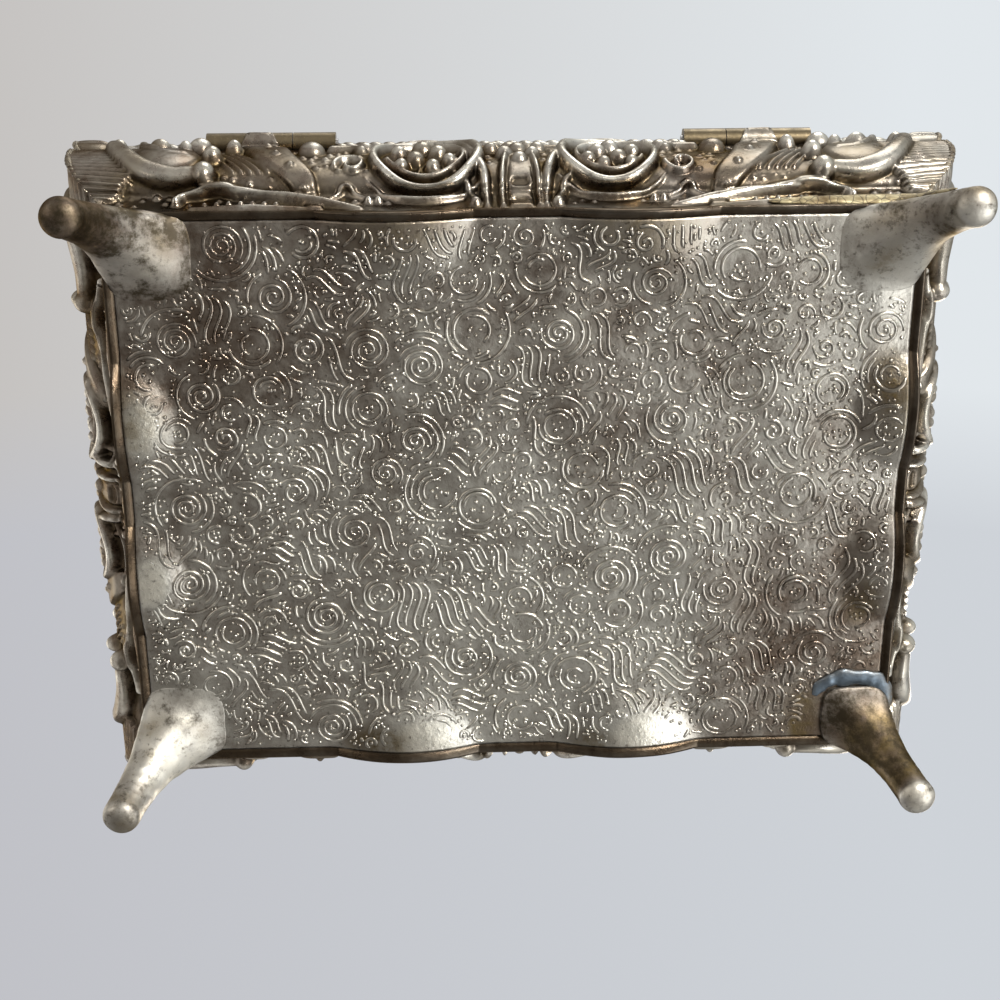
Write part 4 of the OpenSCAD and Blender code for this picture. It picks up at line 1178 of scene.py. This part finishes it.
def make_mend():
    """Solder fillet of the mended foot: a low uneven roll along the root's square outline."""
    ex, ey = squarish(np.radians(np.linspace(20, 200, 60)), 2.8)
    half, mid = 4.25, -4.2
    x, y = -(HALF_X + mid) + half * ex, -(HALF_Y + mid) + half * ey
    path = np.stack([x, y, ground(x, np.clip(y, -30, 30)) - 0.05], 1)
    soften(path, 12)
    along = unit(np.gradient(path, axis=0))
    side = np.stack([along[:, 1], -along[:, 0], 0 * x], 1)
    share = np.linspace(0, 1, 60)
    body = np.sin(np.pi * share)
    wide = (0.25 + 0.95 * body ** 0.7) * (1 + 0.26 * waves(share * 40, 0.0, 7, 6.0))
    tall = 0.5 * body ** 0.6 * (1 + 0.25 * waves(share * 40, 3.0, 8, 4.0))
    b = np.linspace(0, 2 * np.pi, 15)[:-1]
    rings = path[:, None, :] + side[:, None, :] * (np.cos(b)[:, None] * wide[:, None, None])
    rings[..., 2] -= np.sin(b) * np.where(np.sin(b) > 0, tall[:, None], 0.2)
    stain = np.clip(0.5 * np.cos(b) - 0.1 + 0.5 * smooth((share - 0.6) / 0.3)[:, None], 0, 1)
    piece("foot_mend", turned(closed_tube(rings)), "foot_solder", "box",
          {"stain": stain})


# ---------------------------------------------------------------- lid

def dome_height(x, y):
    """Pillow of two crossing arches: the softened lesser of two circle arcs. An arch of half span
    h that rises by r has the radius (h squared + r squared) / 2 r."""
    top, rise = 37.2, 6.2

    def arch(v, half):
        radius = (half * half + rise * rise) / (2 * rise)
        return top - radius + np.sqrt(np.maximum(radius * radius - v * v, 0))
    a, b = arch(x, LID_X), arch(y, LID_Y)
    return 0.5 * (a + b - np.sqrt((a - b) ** 2 + 0.25)) + 0.12


def draw_quarter(m, tall, sx, sy):
    """Corner leaf, paired scrolls, beads and reeds of one quarter of the lid."""
    def curve(*points):
        return bend(*[(sx * x, sy * y) for x, y in points])

    def curl(x, y, r, start, stop, grow):
        return arc(x, y, r, start, stop, 60, grow=grow) * (sx, sy)

    for path, width, height in (
            (curl(32.4, 21.6, 3.6, 200, 650, -3.0), (1.5, 1.2, 0.8), 1.15),
            (curve((37.0, 26.2), (33.5, 26.0), (29.4, 23.4), (28.6, 19.6)), (0.6, 1.5, 1.4), 1),
            (curve((28.6, 21.2), (24.0, 24.6), (18.0, 25.6), (12.8, 23.4)), (1.5, 1.2, 0.9), 1),
            (curl(14.6, 22.0, 2.4, 120, 520, -2.0), (1.2, 0.7), 1),
            (curve((24.0, 24.4), (21.2, 21.8), (21.8, 18.8), (24.0, 17.9)), (1.2, 0.8), 0.9),
            (curve((10.6, 24.6), (6.2, 25.9), (2.6, 24.4), (1.4, 21.6)), (1.3, 0.8), 0.9),
            (curve((34.6, 17.2), (36.4, 12.6), (35.4, 7.4), (32.0, 5.2)), (1.5, 1.2, 0.9), 1),
            (curl(31.6, 7.6, 2.5, 250, -150, -2.1), (1.2, 0.7), 1),
            (curve((29.4, 12.6), (26.4, 9.4), (25.6, 5.0), (26.8, 1.2)), (1.2, 0.9), 0.9),
            (curve((36.8, 4.2), (36.0, 1.4), (33.6, 0.4)), 0.9, 0.8)):
        m.stroke(path, width, tall * height)
    for k in range(5):
        m.stroke(curve((37.4 - 0.5 * k, 27.0), (35.6 - 1.5 * k, 24.6 - 0.2 * k)), 0.4, tall * 0.55)
    m.pearl(sx * 32.4, sy * 21.6, 0.9, tall * 1.4)
    for x, y, r in ((27.6, 26.0, 0.6), (26.2, 20.4, 0.55), (36.9, 20.6, 0.7), (36.6, 15.2, 0.5),
                    (18.2, 22.6, 0.6), (9.2, 21.4, 0.55), (29.4, 3.4, 0.6), (22.8, 13.8, 0.6),
                    (37.1, 24.0, 0.5), (34.2, 10.4, 0.55), (4.6, 22.8, 0.5)):
        m.pearl(sx * x, sy * y, r, tall * 1.1)


def lid_relief():
    """Scrollwork of the lid, drawn for one quarter and mirrored: a rope border, corner leaves,
    paired scrolls along the sides, rosettes, and pearls and rays round the ring."""
    m = Relief(-45.5, 45.5, -34.5, 34.5, 0.14)
    tall = mm(sizes().lid_relief)
    for x, y, width, height in ((41.2, 30.2, 0.8, 0.9), (38.9, 27.9, 0.55, 0.6)):
        m.stroke([(-x, -y), (x, -y), (x, y), (-x, y), (-x, -y)], width, tall * height)
    for way in (-1, 1):
        for x in np.arange(-40.2, 40.3, 1.3):
            m.pearl(x, way * 29.05, 0.48, tall)
        for y in np.arange(-27.9, 28.0, 1.3):
            m.pearl(way * 40.05, y, 0.48, tall)
        for x, y, ball, r, leaf in ((0, 24.6, 1.5, 2.1, 0.6), (35.4, 0, 1.4, 2.0, 0.55)):
            m.pearl(way * x, way * y, ball, tall * 1.5)
            for a in range(0, 360, 60):
                m.pearl(*on_circle(r, a, way * x, way * y), leaf, tall)
    for sx, sy in CORNERS:
        draw_quarter(m, tall, sx, sy)
    for k, a in enumerate(np.arange(0, 360, 7.5)):
        m.pearl(*on_circle(20.6, a), 0.55, tall * 0.9)
        ray = a + 3.75
        first = 6.0 if abs(math.sin(math.radians(ray))) < 0.9 else 10.6
        m.stroke([on_circle(first, ray), on_circle(16.4 if k % 2 else 14.6, ray)], (0.25, 0.75),
                 tall * 0.5)
    m.z = blurred(m.z, 1, 2)
    return m


def make_dome():
    """Top of the lid: the dome's height plus the scrollwork over a grid, closed below."""
    u, v = spread(np.linspace(-1, 1, 350), np.linspace(-1, 1, 265))
    round_off = 1.75 * np.abs(u * v) ** 26
    x, y = LID_X * u - np.sign(u) * round_off, LID_Y * v - np.sign(v) * round_off
    rise = lid_relief().sample(x, y)
    rim = smooth(np.minimum(LID_X * (1 - np.abs(u)), LID_Y * (1 - np.abs(v))) / 1.2)
    sheet = np.stack([x, y, dome_height(x, y) + rise * rim - 0.25 * (1 - rim)], -1)
    shell = closed_sheet(sheet, at_height(sheet, 30.5, 0.955))
    wear_and_painted_light = np.clip((rise - blurred(rise, 12)) * 3.0 + rise * 0.7 - 0.16, -1, 1)
    tone = 0.52 + 0.16 * waves(x, y, 131, 24.0) + 0.1 * waves(x, y, 132, 7.0)
    stain = np.clip(0.25 * waves(x, y, 133, 15.0), 0, 1)
    piece("lid_dome", shell, "lid_silver", "lid",
          {"tone": rimmed(tone, shell, 0.4), "wear_and_painted_light": rimmed(wear_and_painted_light, shell),
           "stain": rimmed(stain, shell)}, ("lid_shell",))


def around(profile_o, profile_z, corner, steps):
    """Carries a closed profile of (out, height) round the box: a rectangle with round corners,
    half sizes 42 + out and 31 + out. Gives points as (profile, round, xyz) and their run."""
    far = (corner + profile_o)[:, None, None]
    long_n, short_n, turn_n = steps
    ways = np.array([(1, -1), (1, 1), (-1, 1), (-1, -1)])
    middles = ways * (HALF_X - corner, HALF_Y - corner)
    legs = []
    for k in range(4):
        a = np.radians(np.linspace(90 * k - 90, 90 * k, turn_n))
        circle = np.stack([np.cos(a), np.sin(a)], -1)
        turn = middles[k] + far * circle
        s = np.linspace(0, 1, (long_n if k % 2 else short_n) + 2)[1:-1, None]
        last = middles[(k + 1) % 4] + far * circle[-1]
        legs += [turn, turn[:, -1:] * (1 - s) + last * s]
    flat = np.concatenate(legs, 1)
    z = profile_z[:, None] + 0 * flat[..., 0]
    return np.concatenate([flat, z[..., None]], -1), run_along(flat[0])


def make_lid_rim():
    """Band of the lid with a gadrooned roll along its lower edge, carried round the box; the roll's
    radius swells and narrows every 1.5 mm. Cut back where the hinges sit."""
    a = np.radians(np.linspace(-90, 90, 15))
    o = np.concatenate([[2.0, 2.6], 3.3 + 0.86 * np.cos(a), [3.32, 3.32, 3.2, 2.9, 2.5, 2.0]])
    z = np.concatenate([[28.24, 28.22], 29.12 + 0.88 * np.sin(a),
                        [30.25, 31.1, 31.38, 31.5, 31.42, 31.2]])
    roll = np.concatenate([[0, 0], np.cos(a) ** 0.5, np.zeros(6)])[:, None]
    points, run = around(o, z, 1.2, (420, 310, 14))
    swell = 0.5 + 0.5 * np.cos(2 * np.pi * (run / 1.5 + z[:, None] * 0.35))
    flat = points[..., :2]
    flat -= unit(flat - np.clip(flat, [-40.8, -29.8], [40.8, 29.8])) \
        * (0.2 * roll * (1 - swell) ** 2)[..., None]
    x, y, h = np.moveaxis(points, -1, 0)
    span = (np.abs(np.abs(x) - HINGE_AT) < HINGE_HALF) & (y > HALF_Y + 0.6)
    dy, dz = y - HINGE_Y, h - HINGE_Z
    near, grow = clear_hinge(span, dy, dz, 1.45)
    up = np.where(near & (dz < 0.25), 0.25, dz)
    y = np.where(near, HINGE_Y + dy * grow, y)
    h = np.where(near, HINGE_Z + np.maximum(up * grow, 0.6), h)
    h = np.where(span & (h < 28.72), 28.72, h)
    y = np.where(span & (y > HINGE_Y - 0.05) & (h < HINGE_Z + 1.42), HINGE_Y - 0.1, y)
    wear_and_painted_light = np.clip(0.25 + 0.5 * roll * swell - 0.6 * roll * (1 - swell) ** 2, -1, 1)
    piece("lid_band", turned(hoop(np.stack([x, y, h], -1))), "lid_silver", "lid",
          {"tone": 0.5 + 0.2 * waves(x, y + 2 * h, 141, 12.0), "wear_and_painted_light": wear_and_painted_light,
           "stain": np.clip(0.3 * waves(x, y, 142, 9.0), 0, 1)})


def make_ring():
    """Moulded ring in the middle of the lid: a closed profile, finely notched, carried round."""
    a = np.linspace(0, 2 * np.pi, 241)[:-1]
    r = np.array([17.6, 17.75, 18.0, 18.35, 18.7, 18.95, 19.1, 18.9, 17.9])[:, None]
    z = np.array([34.9, 36.75, 37.12, 37.2, 37.12, 36.75, 34.6, 34.4, 34.4])[:, None]
    notched = np.array([0, 1, 1, 0, 1, 1, 0, 0, 0])[:, None]
    rubbed = np.array([-0.3, 0.2, 0.6, 0.8, 0.6, 0.2, -0.4, -0.4, -0.4])[:, None]
    far = r + 0.12 * np.cos(40 * a) * notched * np.sign(r - 18.35)
    x, y = far * np.cos(a), far * np.sin(a)
    piece("lid_ring", hoop(np.stack([x, y, z + 0 * x], -1)), "lid_silver", "lid",
          {"tone": 0.6 + 0.2 * waves(x, y, 151, 8.0), "wear_and_painted_light": rubbed + 0 * x, "stain": 0 * x})


def make_cross():
    """Plain cross inside the ring: a bevelled height over a grid, sunk where the plan leaves its
    bars, which flare a little at their ends."""
    x, y = spread(np.linspace(-7.2, 7.2, 150), np.linspace(-12.95, 9.45, 230))
    flare = 0.55 * smooth((np.abs(y - 1.0) - 7.0) / 4.0)
    upright_bar = np.minimum(1.15 + flare - np.abs(x), np.minimum(y + 12.7, 9.2 - y))
    flare = 0.5 * smooth((np.abs(x) - 3.5) / 3.0)
    arms = np.minimum(1.15 + flare - np.abs(y - 4.78), 7.0 - np.abs(x))
    inside = np.maximum(upright_bar, arms)
    top = 37.82 - 0.62 * (1 - smooth(inside / 0.75)) - 0.25 * np.exp(-((inside - 0.85) / 0.1) ** 2)
    sheet = np.stack([x, y, np.where(inside > 0, top, np.maximum(36.0, 37.2 + inside * 6))], -1)
    shell = closed_sheet(sheet, at_height(sheet, 35.4))
    wear_and_painted_light = rimmed(np.clip(inside / 0.8, -0.6, 0.85), shell)
    piece("lid_cross", shell, "lid_silver", "lid",
          {"tone": 0.62 + 0 * wear_and_painted_light, "wear_and_painted_light": wear_and_painted_light, "stain": 0 * wear_and_painted_light})


def make_thumb_shell():
    """Scallop on the lid's front edge: a flattened lens whose radius and thickness ripple with the
    angle, nine ribs fanning from the band."""
    share = np.linspace(0.02, 1, 26)[:, None]
    a = np.linspace(0, 2 * np.pi, 121)[None, :-1]
    ribs = np.abs(np.cos(9 * a)) ** 0.8
    radius = 5.72 + 0.22 * ribs
    x = share * radius * np.cos(a)
    y = -30.4 + share * radius * np.sin(a) * np.where(np.sin(a) > 0, 0.3, 1.0)
    thick = 1.3 * np.sqrt(np.clip(1 - (share * 0.97) ** 2.6, 0, 1)) * (0.84 + 0.16 * ribs)
    rings = np.concatenate([np.stack([x, y, 30.55 + thick], -1),
                            np.stack([x, y, 30.55 - thick * 0.95], -1)[::-1]])
    wear_and_painted_light = np.tile(np.clip(0.9 * ribs - 0.35, -0.5, 0.8) + 0 * share, (2, 1))
    piece("thumb_scallop", closed_tube(rings), "lid_silver", "lid",
          {"tone": 0.6 + 0 * wear_and_painted_light, "wear_and_painted_light": wear_and_painted_light, "stain": 0 * wear_and_painted_light})


# ---------------------------------------------------------------- lining

def cushion(lo, hi, crown, seed, face_down):
    """Thin padded panel: top height = crown times a product of two rounded falls to the edge, with
    slow wrinkles; its sides pull in between the corners by tuck. Flat below, closed all round."""
    tuck = 0.35
    u, v = spread(np.linspace(-1, 1, 220), np.linspace(-1, 1, 165))
    fall = (1 - np.abs(u) ** 14) * (1 - np.abs(v) ** 12)
    mid, half = (lo + hi) / 2, (hi - lo) / 2
    x = mid[0] + u * (half[0] - tuck * (1 - v * v) * np.abs(u) ** 6)
    y = mid[1] + v * (half[1] - tuck * (1 - u * u) * np.abs(v) ** 6)
    wrinkle = 0.07 * waves(x, y, seed, 9.0) + 0.05 * waves(x, y, seed + 1, 4.0)
    base = hi[2] - lo[2]
    rise = (base - crown) * fall ** 0.45 \
        + crown * (1 - u ** 4) ** 0.5 * (1 - v ** 4) ** 0.5 * (0.92 + wrinkle)
    rise = np.clip(rise, 0.06, base)
    sheet = np.stack([x, y, hi[2] - rise if face_down else lo[2] + rise], -1)
    shell = closed_sheet(sheet, at_height(sheet, hi[2] if face_down else lo[2]))
    return turned(shell) if face_down else shell


def make_lining():
    """Velvet well: a padded floor, four padded side strips and the lid's pad."""
    for node, name, body, crown, seed in (("floor_velvet", "velvet_floor", "box", 0.75, 201),
                                          ("lid_pad", "velvet_lid_pad", "lid", 0.5, 211)):
        lo, hi = np.array(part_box(node)) / MM
        shell = cushion(lo, hi, crown, seed, body == "lid")
        obj = piece(name, shell, "lining_velvet", body, None, (node,))
    for place, along_x, sign in (("back", True, 1), ("front", True, -1),
                                 ("right", False, 1), ("left", False, -1)):
        make_strip(place, along_x, sign)


def make_strip(place, along_x, sign):
    """Padded side strip: the wall's inner slope, offset inwards by a crowned thickness that falls
    to nothing at the strip's four edges, over length and height."""
    node = "velvet_strip_" + place
    lo, hi = np.array(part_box(node)) / MM
    along, across = (0, 1) if along_x else (1, 0)
    u = np.linspace(-1, 1, 260 if along_x else 200)[:, None]
    v = np.linspace(0, 1, 46)
    z = lo[2] + 0.05 + (hi[2] - lo[2] - 0.1) * v + 0 * u
    h = z - UNDERSIDE
    wall = (HALF_Y if along_x else HALF_X) + np.where(h > 11, 2.0, -1.9 + 3.9 * (h - 1.5) / 9.5)
    near = np.minimum(wall - 0.02, hi[across] if sign > 0 else -lo[across])
    x = u * ((hi[along] - lo[along]) / 2 - (near.max() - near) - 0.05)
    thick = 1.15 if along_x else 0.8
    fall = (1 - np.abs(u) ** 30) ** 0.5 * (1 - np.abs(2 * v - 1) ** 8) ** 0.5
    uneven = 0.86 + 0.12 * waves(x, z, 221 + int(along_x) + sign, 7.0)
    pad = 0.08 + (thick - 0.08) * fall * uneven
    shell = closed_sheet(upright(along_x, x, sign * (near - pad), z),
                         upright(along_x, x, sign * near, z))
    if (sign > 0) != along_x:
        shell = turned(shell)
    obj = piece("velvet_side_" + place, shell, "lining_velvet", "box", None, (node,))


# ---------------------------------------------------------------- parts kept from the solids

def finish_nodes():
    """Procedural finishes for the CAD parts that stay: hinge leaves, pins and cards."""
    kinds = {"hinge_leaf": "aged_brass", "pin": "drawn_steel", "card": "lining_card"}
    for name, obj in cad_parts.items():
        for word, key in kinds.items():
            if word not in name:
                continue
            if not obj.material_slots:
                obj.data.materials.append(material(key))
            for slot in obj.material_slots:
                slot.material = material(key)


# ---------------------------------------------------------------- stage

def photo_camera():
    """Camera at the photograph's angle: below the box and tilted, found from the plate's corners.
    Its axes are the box's, turned by yaw, pitch and roll one after the other."""
    yaw, pitch, roll = (math.radians(v) for v in (2.15, 20.88, 0.27))
    turn = np.array([[math.cos(yaw), 0, -math.sin(yaw)], [0, 1, 0],
                     [math.sin(yaw), 0, math.cos(yaw)]])
    tip = np.array([[1, 0, 0], [0, math.cos(pitch), math.sin(pitch)],
                    [0, -math.sin(pitch), math.cos(pitch)]])
    spin = np.array([[math.cos(roll), -math.sin(roll), 0], [math.sin(roll), math.cos(roll), 0],
                     [0, 0, 1]])
    axes = (spin @ tip @ turn) * np.array([-1, 1, 1])
    data = bpy.data.cameras.new("photo_camera")
    data.sensor_width, data.lens, data.clip_start = 36.0, 57.6, 0.01
    obj = placed(bpy.data.objects.new("photo_camera", data))
    place = Matrix(np.stack([axes[0], axes[1], -axes[2]], 1).tolist()).to_4x4()
    place.translation = Vector((0.00798, 0.06103, -0.14985))
    obj.matrix_world = place
    bpy.context.scene.camera = obj


def lamp(name, place, height, watts, size, tint=(1.0, 1.0, 1.0)):
    """Square area lamp aimed at the box's middle line at a height."""
    data = bpy.data.lights.new(name, "AREA")
    data.energy, data.size, data.color = watts, size, tint
    obj = placed(bpy.data.objects.new(name, data))
    obj.location = place
    aim = Vector((0, 0, height)) - Vector(place)
    obj.rotation_euler = aim.to_track_quat("-Z", "Y").to_euler()


def floor_material():
    """Pale floor, seen from above only. It lets lamps and the underside's own reflections through
    from below, so that the box can be looked at from underneath."""
    made = bpy.data.materials.new("stage_floor")
    n = Nodes(made)
    geo, path = n.add("ShaderNodeNewGeometry"), n.add("ShaderNodeLightPath")
    x, y, _ = n.split(geo.outputs["Position"])
    under_box = n.math("MULTIPLY", n.math("LESS_THAN", n.math("ABSOLUTE", x), 0.055),
                       n.math("LESS_THAN", n.math("ABSOLUTE", y), 0.046))
    through = n.math("MULTIPLY", path.outputs["Is Glossy Ray"], under_box)
    through = n.math("MAXIMUM", through, geo.outputs["Backfacing"])
    through = n.math("MAXIMUM", through, path.outputs["Is Shadow Ray"])
    matt = n.add("ShaderNodeBsdfDiffuse", Color=(0.74, 0.73, 0.72, 1.0))
    far = n.add("ShaderNodeEmission", Color=(0.74, 0.735, 0.73, 1.0), Strength=1.0)
    out = n.math("SQRT", n.math("ADD", n.math("MULTIPLY", x, x), n.math("MULTIPLY", y, y)))
    distance = n.math("MULTIPLY", n.remap(out, 0.12, 0.45), path.outputs["Is Camera Ray"])
    seen = n.mix_shaders(distance, matt.outputs[0], far.outputs[0])
    clear = n.add("ShaderNodeBsdfTransparent")
    n.link(n.mix_shaders(through, seen, clear.outputs[0]), n.out.inputs["Surface"])
    return made


def make_world():
    """Studio surround: pale round the box, in one tone behind it and another in front, and dark
    underfoot; diffuse light gets one plain soft level instead."""
    world = bpy.data.worlds.new("studio")
    bpy.context.scene.world = world
    n = Nodes(world, "World", "Generated")
    x, y, z = n.split(n.coord)
    across = n.remap(x, -0.28, 0.28)
    back = n.mix(across, (0.76, 0.80, 0.83), (0.555, 0.535, 0.52))
    front = n.mix(across, (0.62, 0.65, 0.69), (0.53, 0.535, 0.57))
    underfoot = n.mix(n.remap(x, -0.8, 0.6), (0.52, 0.51, 0.48), (0.17, 0.16, 0.15))
    level = n.mix(n.remap(y, -0.36, -0.28), front, back)
    seen = n.mix(n.remap(z, -0.55, -0.1), underfoot, level)
    shown = n.add("ShaderNodeBackground")
    n.link(seen, shown.inputs["Color"])
    plain = n.add("ShaderNodeBackground", Color=(0.95, 0.97, 1.0, 1.0), Strength=0.42)
    path = n.add("ShaderNodeLightPath").outputs
    rays = n.math("MAXIMUM", path["Is Camera Ray"], path["Is Glossy Ray"])
    rays = n.math("MAXIMUM", rays, path["Is Transmission Ray"])
    n.link(n.mix_shaders(rays, plain.outputs[0], shown.outputs[0]), n.out.inputs["Surface"])


def make_stage():
    """Camera, floor, surround and lamps."""
    photo_camera()
    reach, level = 3.0, -0.02 * MM
    mesh = bpy.data.meshes.new("stage_floor")
    mesh.from_pydata([(-reach, -reach, level), (reach, -reach, level), (reach, reach, level),
                      (-reach, reach, level)], [], [(0, 1, 2, 3)])
    mesh.materials.append(floor_material())
    floor = placed(bpy.data.objects.new("stage_floor", mesh))
    make_world()
    warm, cool = (1.0, 0.98, 0.95), (0.96, 0.98, 1.0)
    # from below, for the photograph's view: a key at its upper right and a weak fill at its left
    lamp("key_below", (-0.20, 0.24, -0.20), 0.012, 1.7, 0.05, warm)
    lamp("window_below", (-0.28, -0.10, -0.22), 0.012, 0.7, 0.22, cool)
    lamp("fill_below", (0.30, 0.16, -0.16), 0.012, 0.25, 0.20, (1.0, 0.95, 0.88))
    # from above, for upright views
    lamp("key_above", (-0.26, -0.34, 0.42), 0.02, 1.9, 0.20, warm)
    lamp("fill_above", (0.42, -0.18, 0.30), 0.02, 0.9, 0.34, (0.95, 0.97, 1.0))
    lamp("back_above", (-0.10, 0.46, 0.32), 0.03, 1.1, 0.30)
    bpy.context.scene.view_settings.view_transform = "Standard"


# ---------------------------------------------------------------- operators and panel

def operator(key, label, note, *work):
    """Operator class for one piece or group of like pieces."""
    def execute(self, context):
        for step in work:
            step()
        return {"FINISHED"}
    return type("ROSARYBOX_OT_" + key, (bpy.types.Operator,), {
        "__doc__": note, "bl_idname": "rosary_box." + key, "bl_label": label,
        "bl_options": {"REGISTER", "UNDO"}, "execute": execute})


STEPS = (
    operator("stage", "Stage", "Make the camera, floor, surround and lamps", make_stage),
    operator("plate", "Base plate", "Make the cast plate with its lobes", make_plate),
    operator("lines", "Raised lines", "Lay the fine line pattern on the underside", make_lines),
    operator("walls", "Relief walls",
             "Make the four scroll relief walls and the solder up their corners", make_walls),
    operator("feet", "Horn feet", "Make the four horn feet", make_feet),
    operator("mend", "Foot mend",
             "Lay the solder round the mended foot and along the back joint",
             make_mend, make_back_band),
    operator("dome", "Lid dome", "Make the domed lid with its scrollwork", make_dome),
    operator("lid_band", "Lid band", "Make the lid's band and roll", make_lid_rim),
    operator("ring_cross", "Ring and cross", "Set the ring and cross on the lid",
             make_ring, make_cross),
    operator("thumb_shell", "Thumb scallop", "Set the scallop on the lid's front edge",
             make_thumb_shell),
    operator("lining", "Velvet lining", "Pad the well and the lid with velvet", make_lining),
    operator("fittings", "Hinges and cards", "Give hinges, pins and cards their finish",
             finish_nodes),
)


class ROSARYBOX_PT_panel(bpy.types.Panel):
    """Sizes, colours and pieces of the rosary box"""
    bl_idname = "ROSARYBOX_PT_panel"
    bl_label = "Rosary Box"
    bl_space_type = "VIEW_3D"
    bl_region_type = "UI"
    bl_category = "Rosary Box"

    def draw(self, context):
        for group in (sizes(), colours()):
            column = self.layout.column(align=True)
            for key in group.__annotations__:
                column.prop(group, key)
        for step in STEPS:
            self.layout.operator(step.bl_idname)


CLASSES = (RosaryBoxSizes, RosaryBoxColours, *STEPS, ROSARYBOX_PT_panel)


def register():
    for cls in CLASSES:
        bpy.utils.register_class(cls)
    bpy.types.Scene.rosary_box_sizes = PointerProperty(type=RosaryBoxSizes)
    bpy.types.Scene.rosary_box_colours = PointerProperty(type=RosaryBoxColours)


def unregister():
    del bpy.types.Scene.rosary_box_colours
    del bpy.types.Scene.rosary_box_sizes
    for cls in reversed(CLASSES):
        bpy.utils.unregister_class(cls)


def main():
    register()
    for step in STEPS:
        group, key = step.bl_idname.split(".")
        getattr(getattr(bpy.ops, group), key)()


if __name__ == "__main__":
    main()
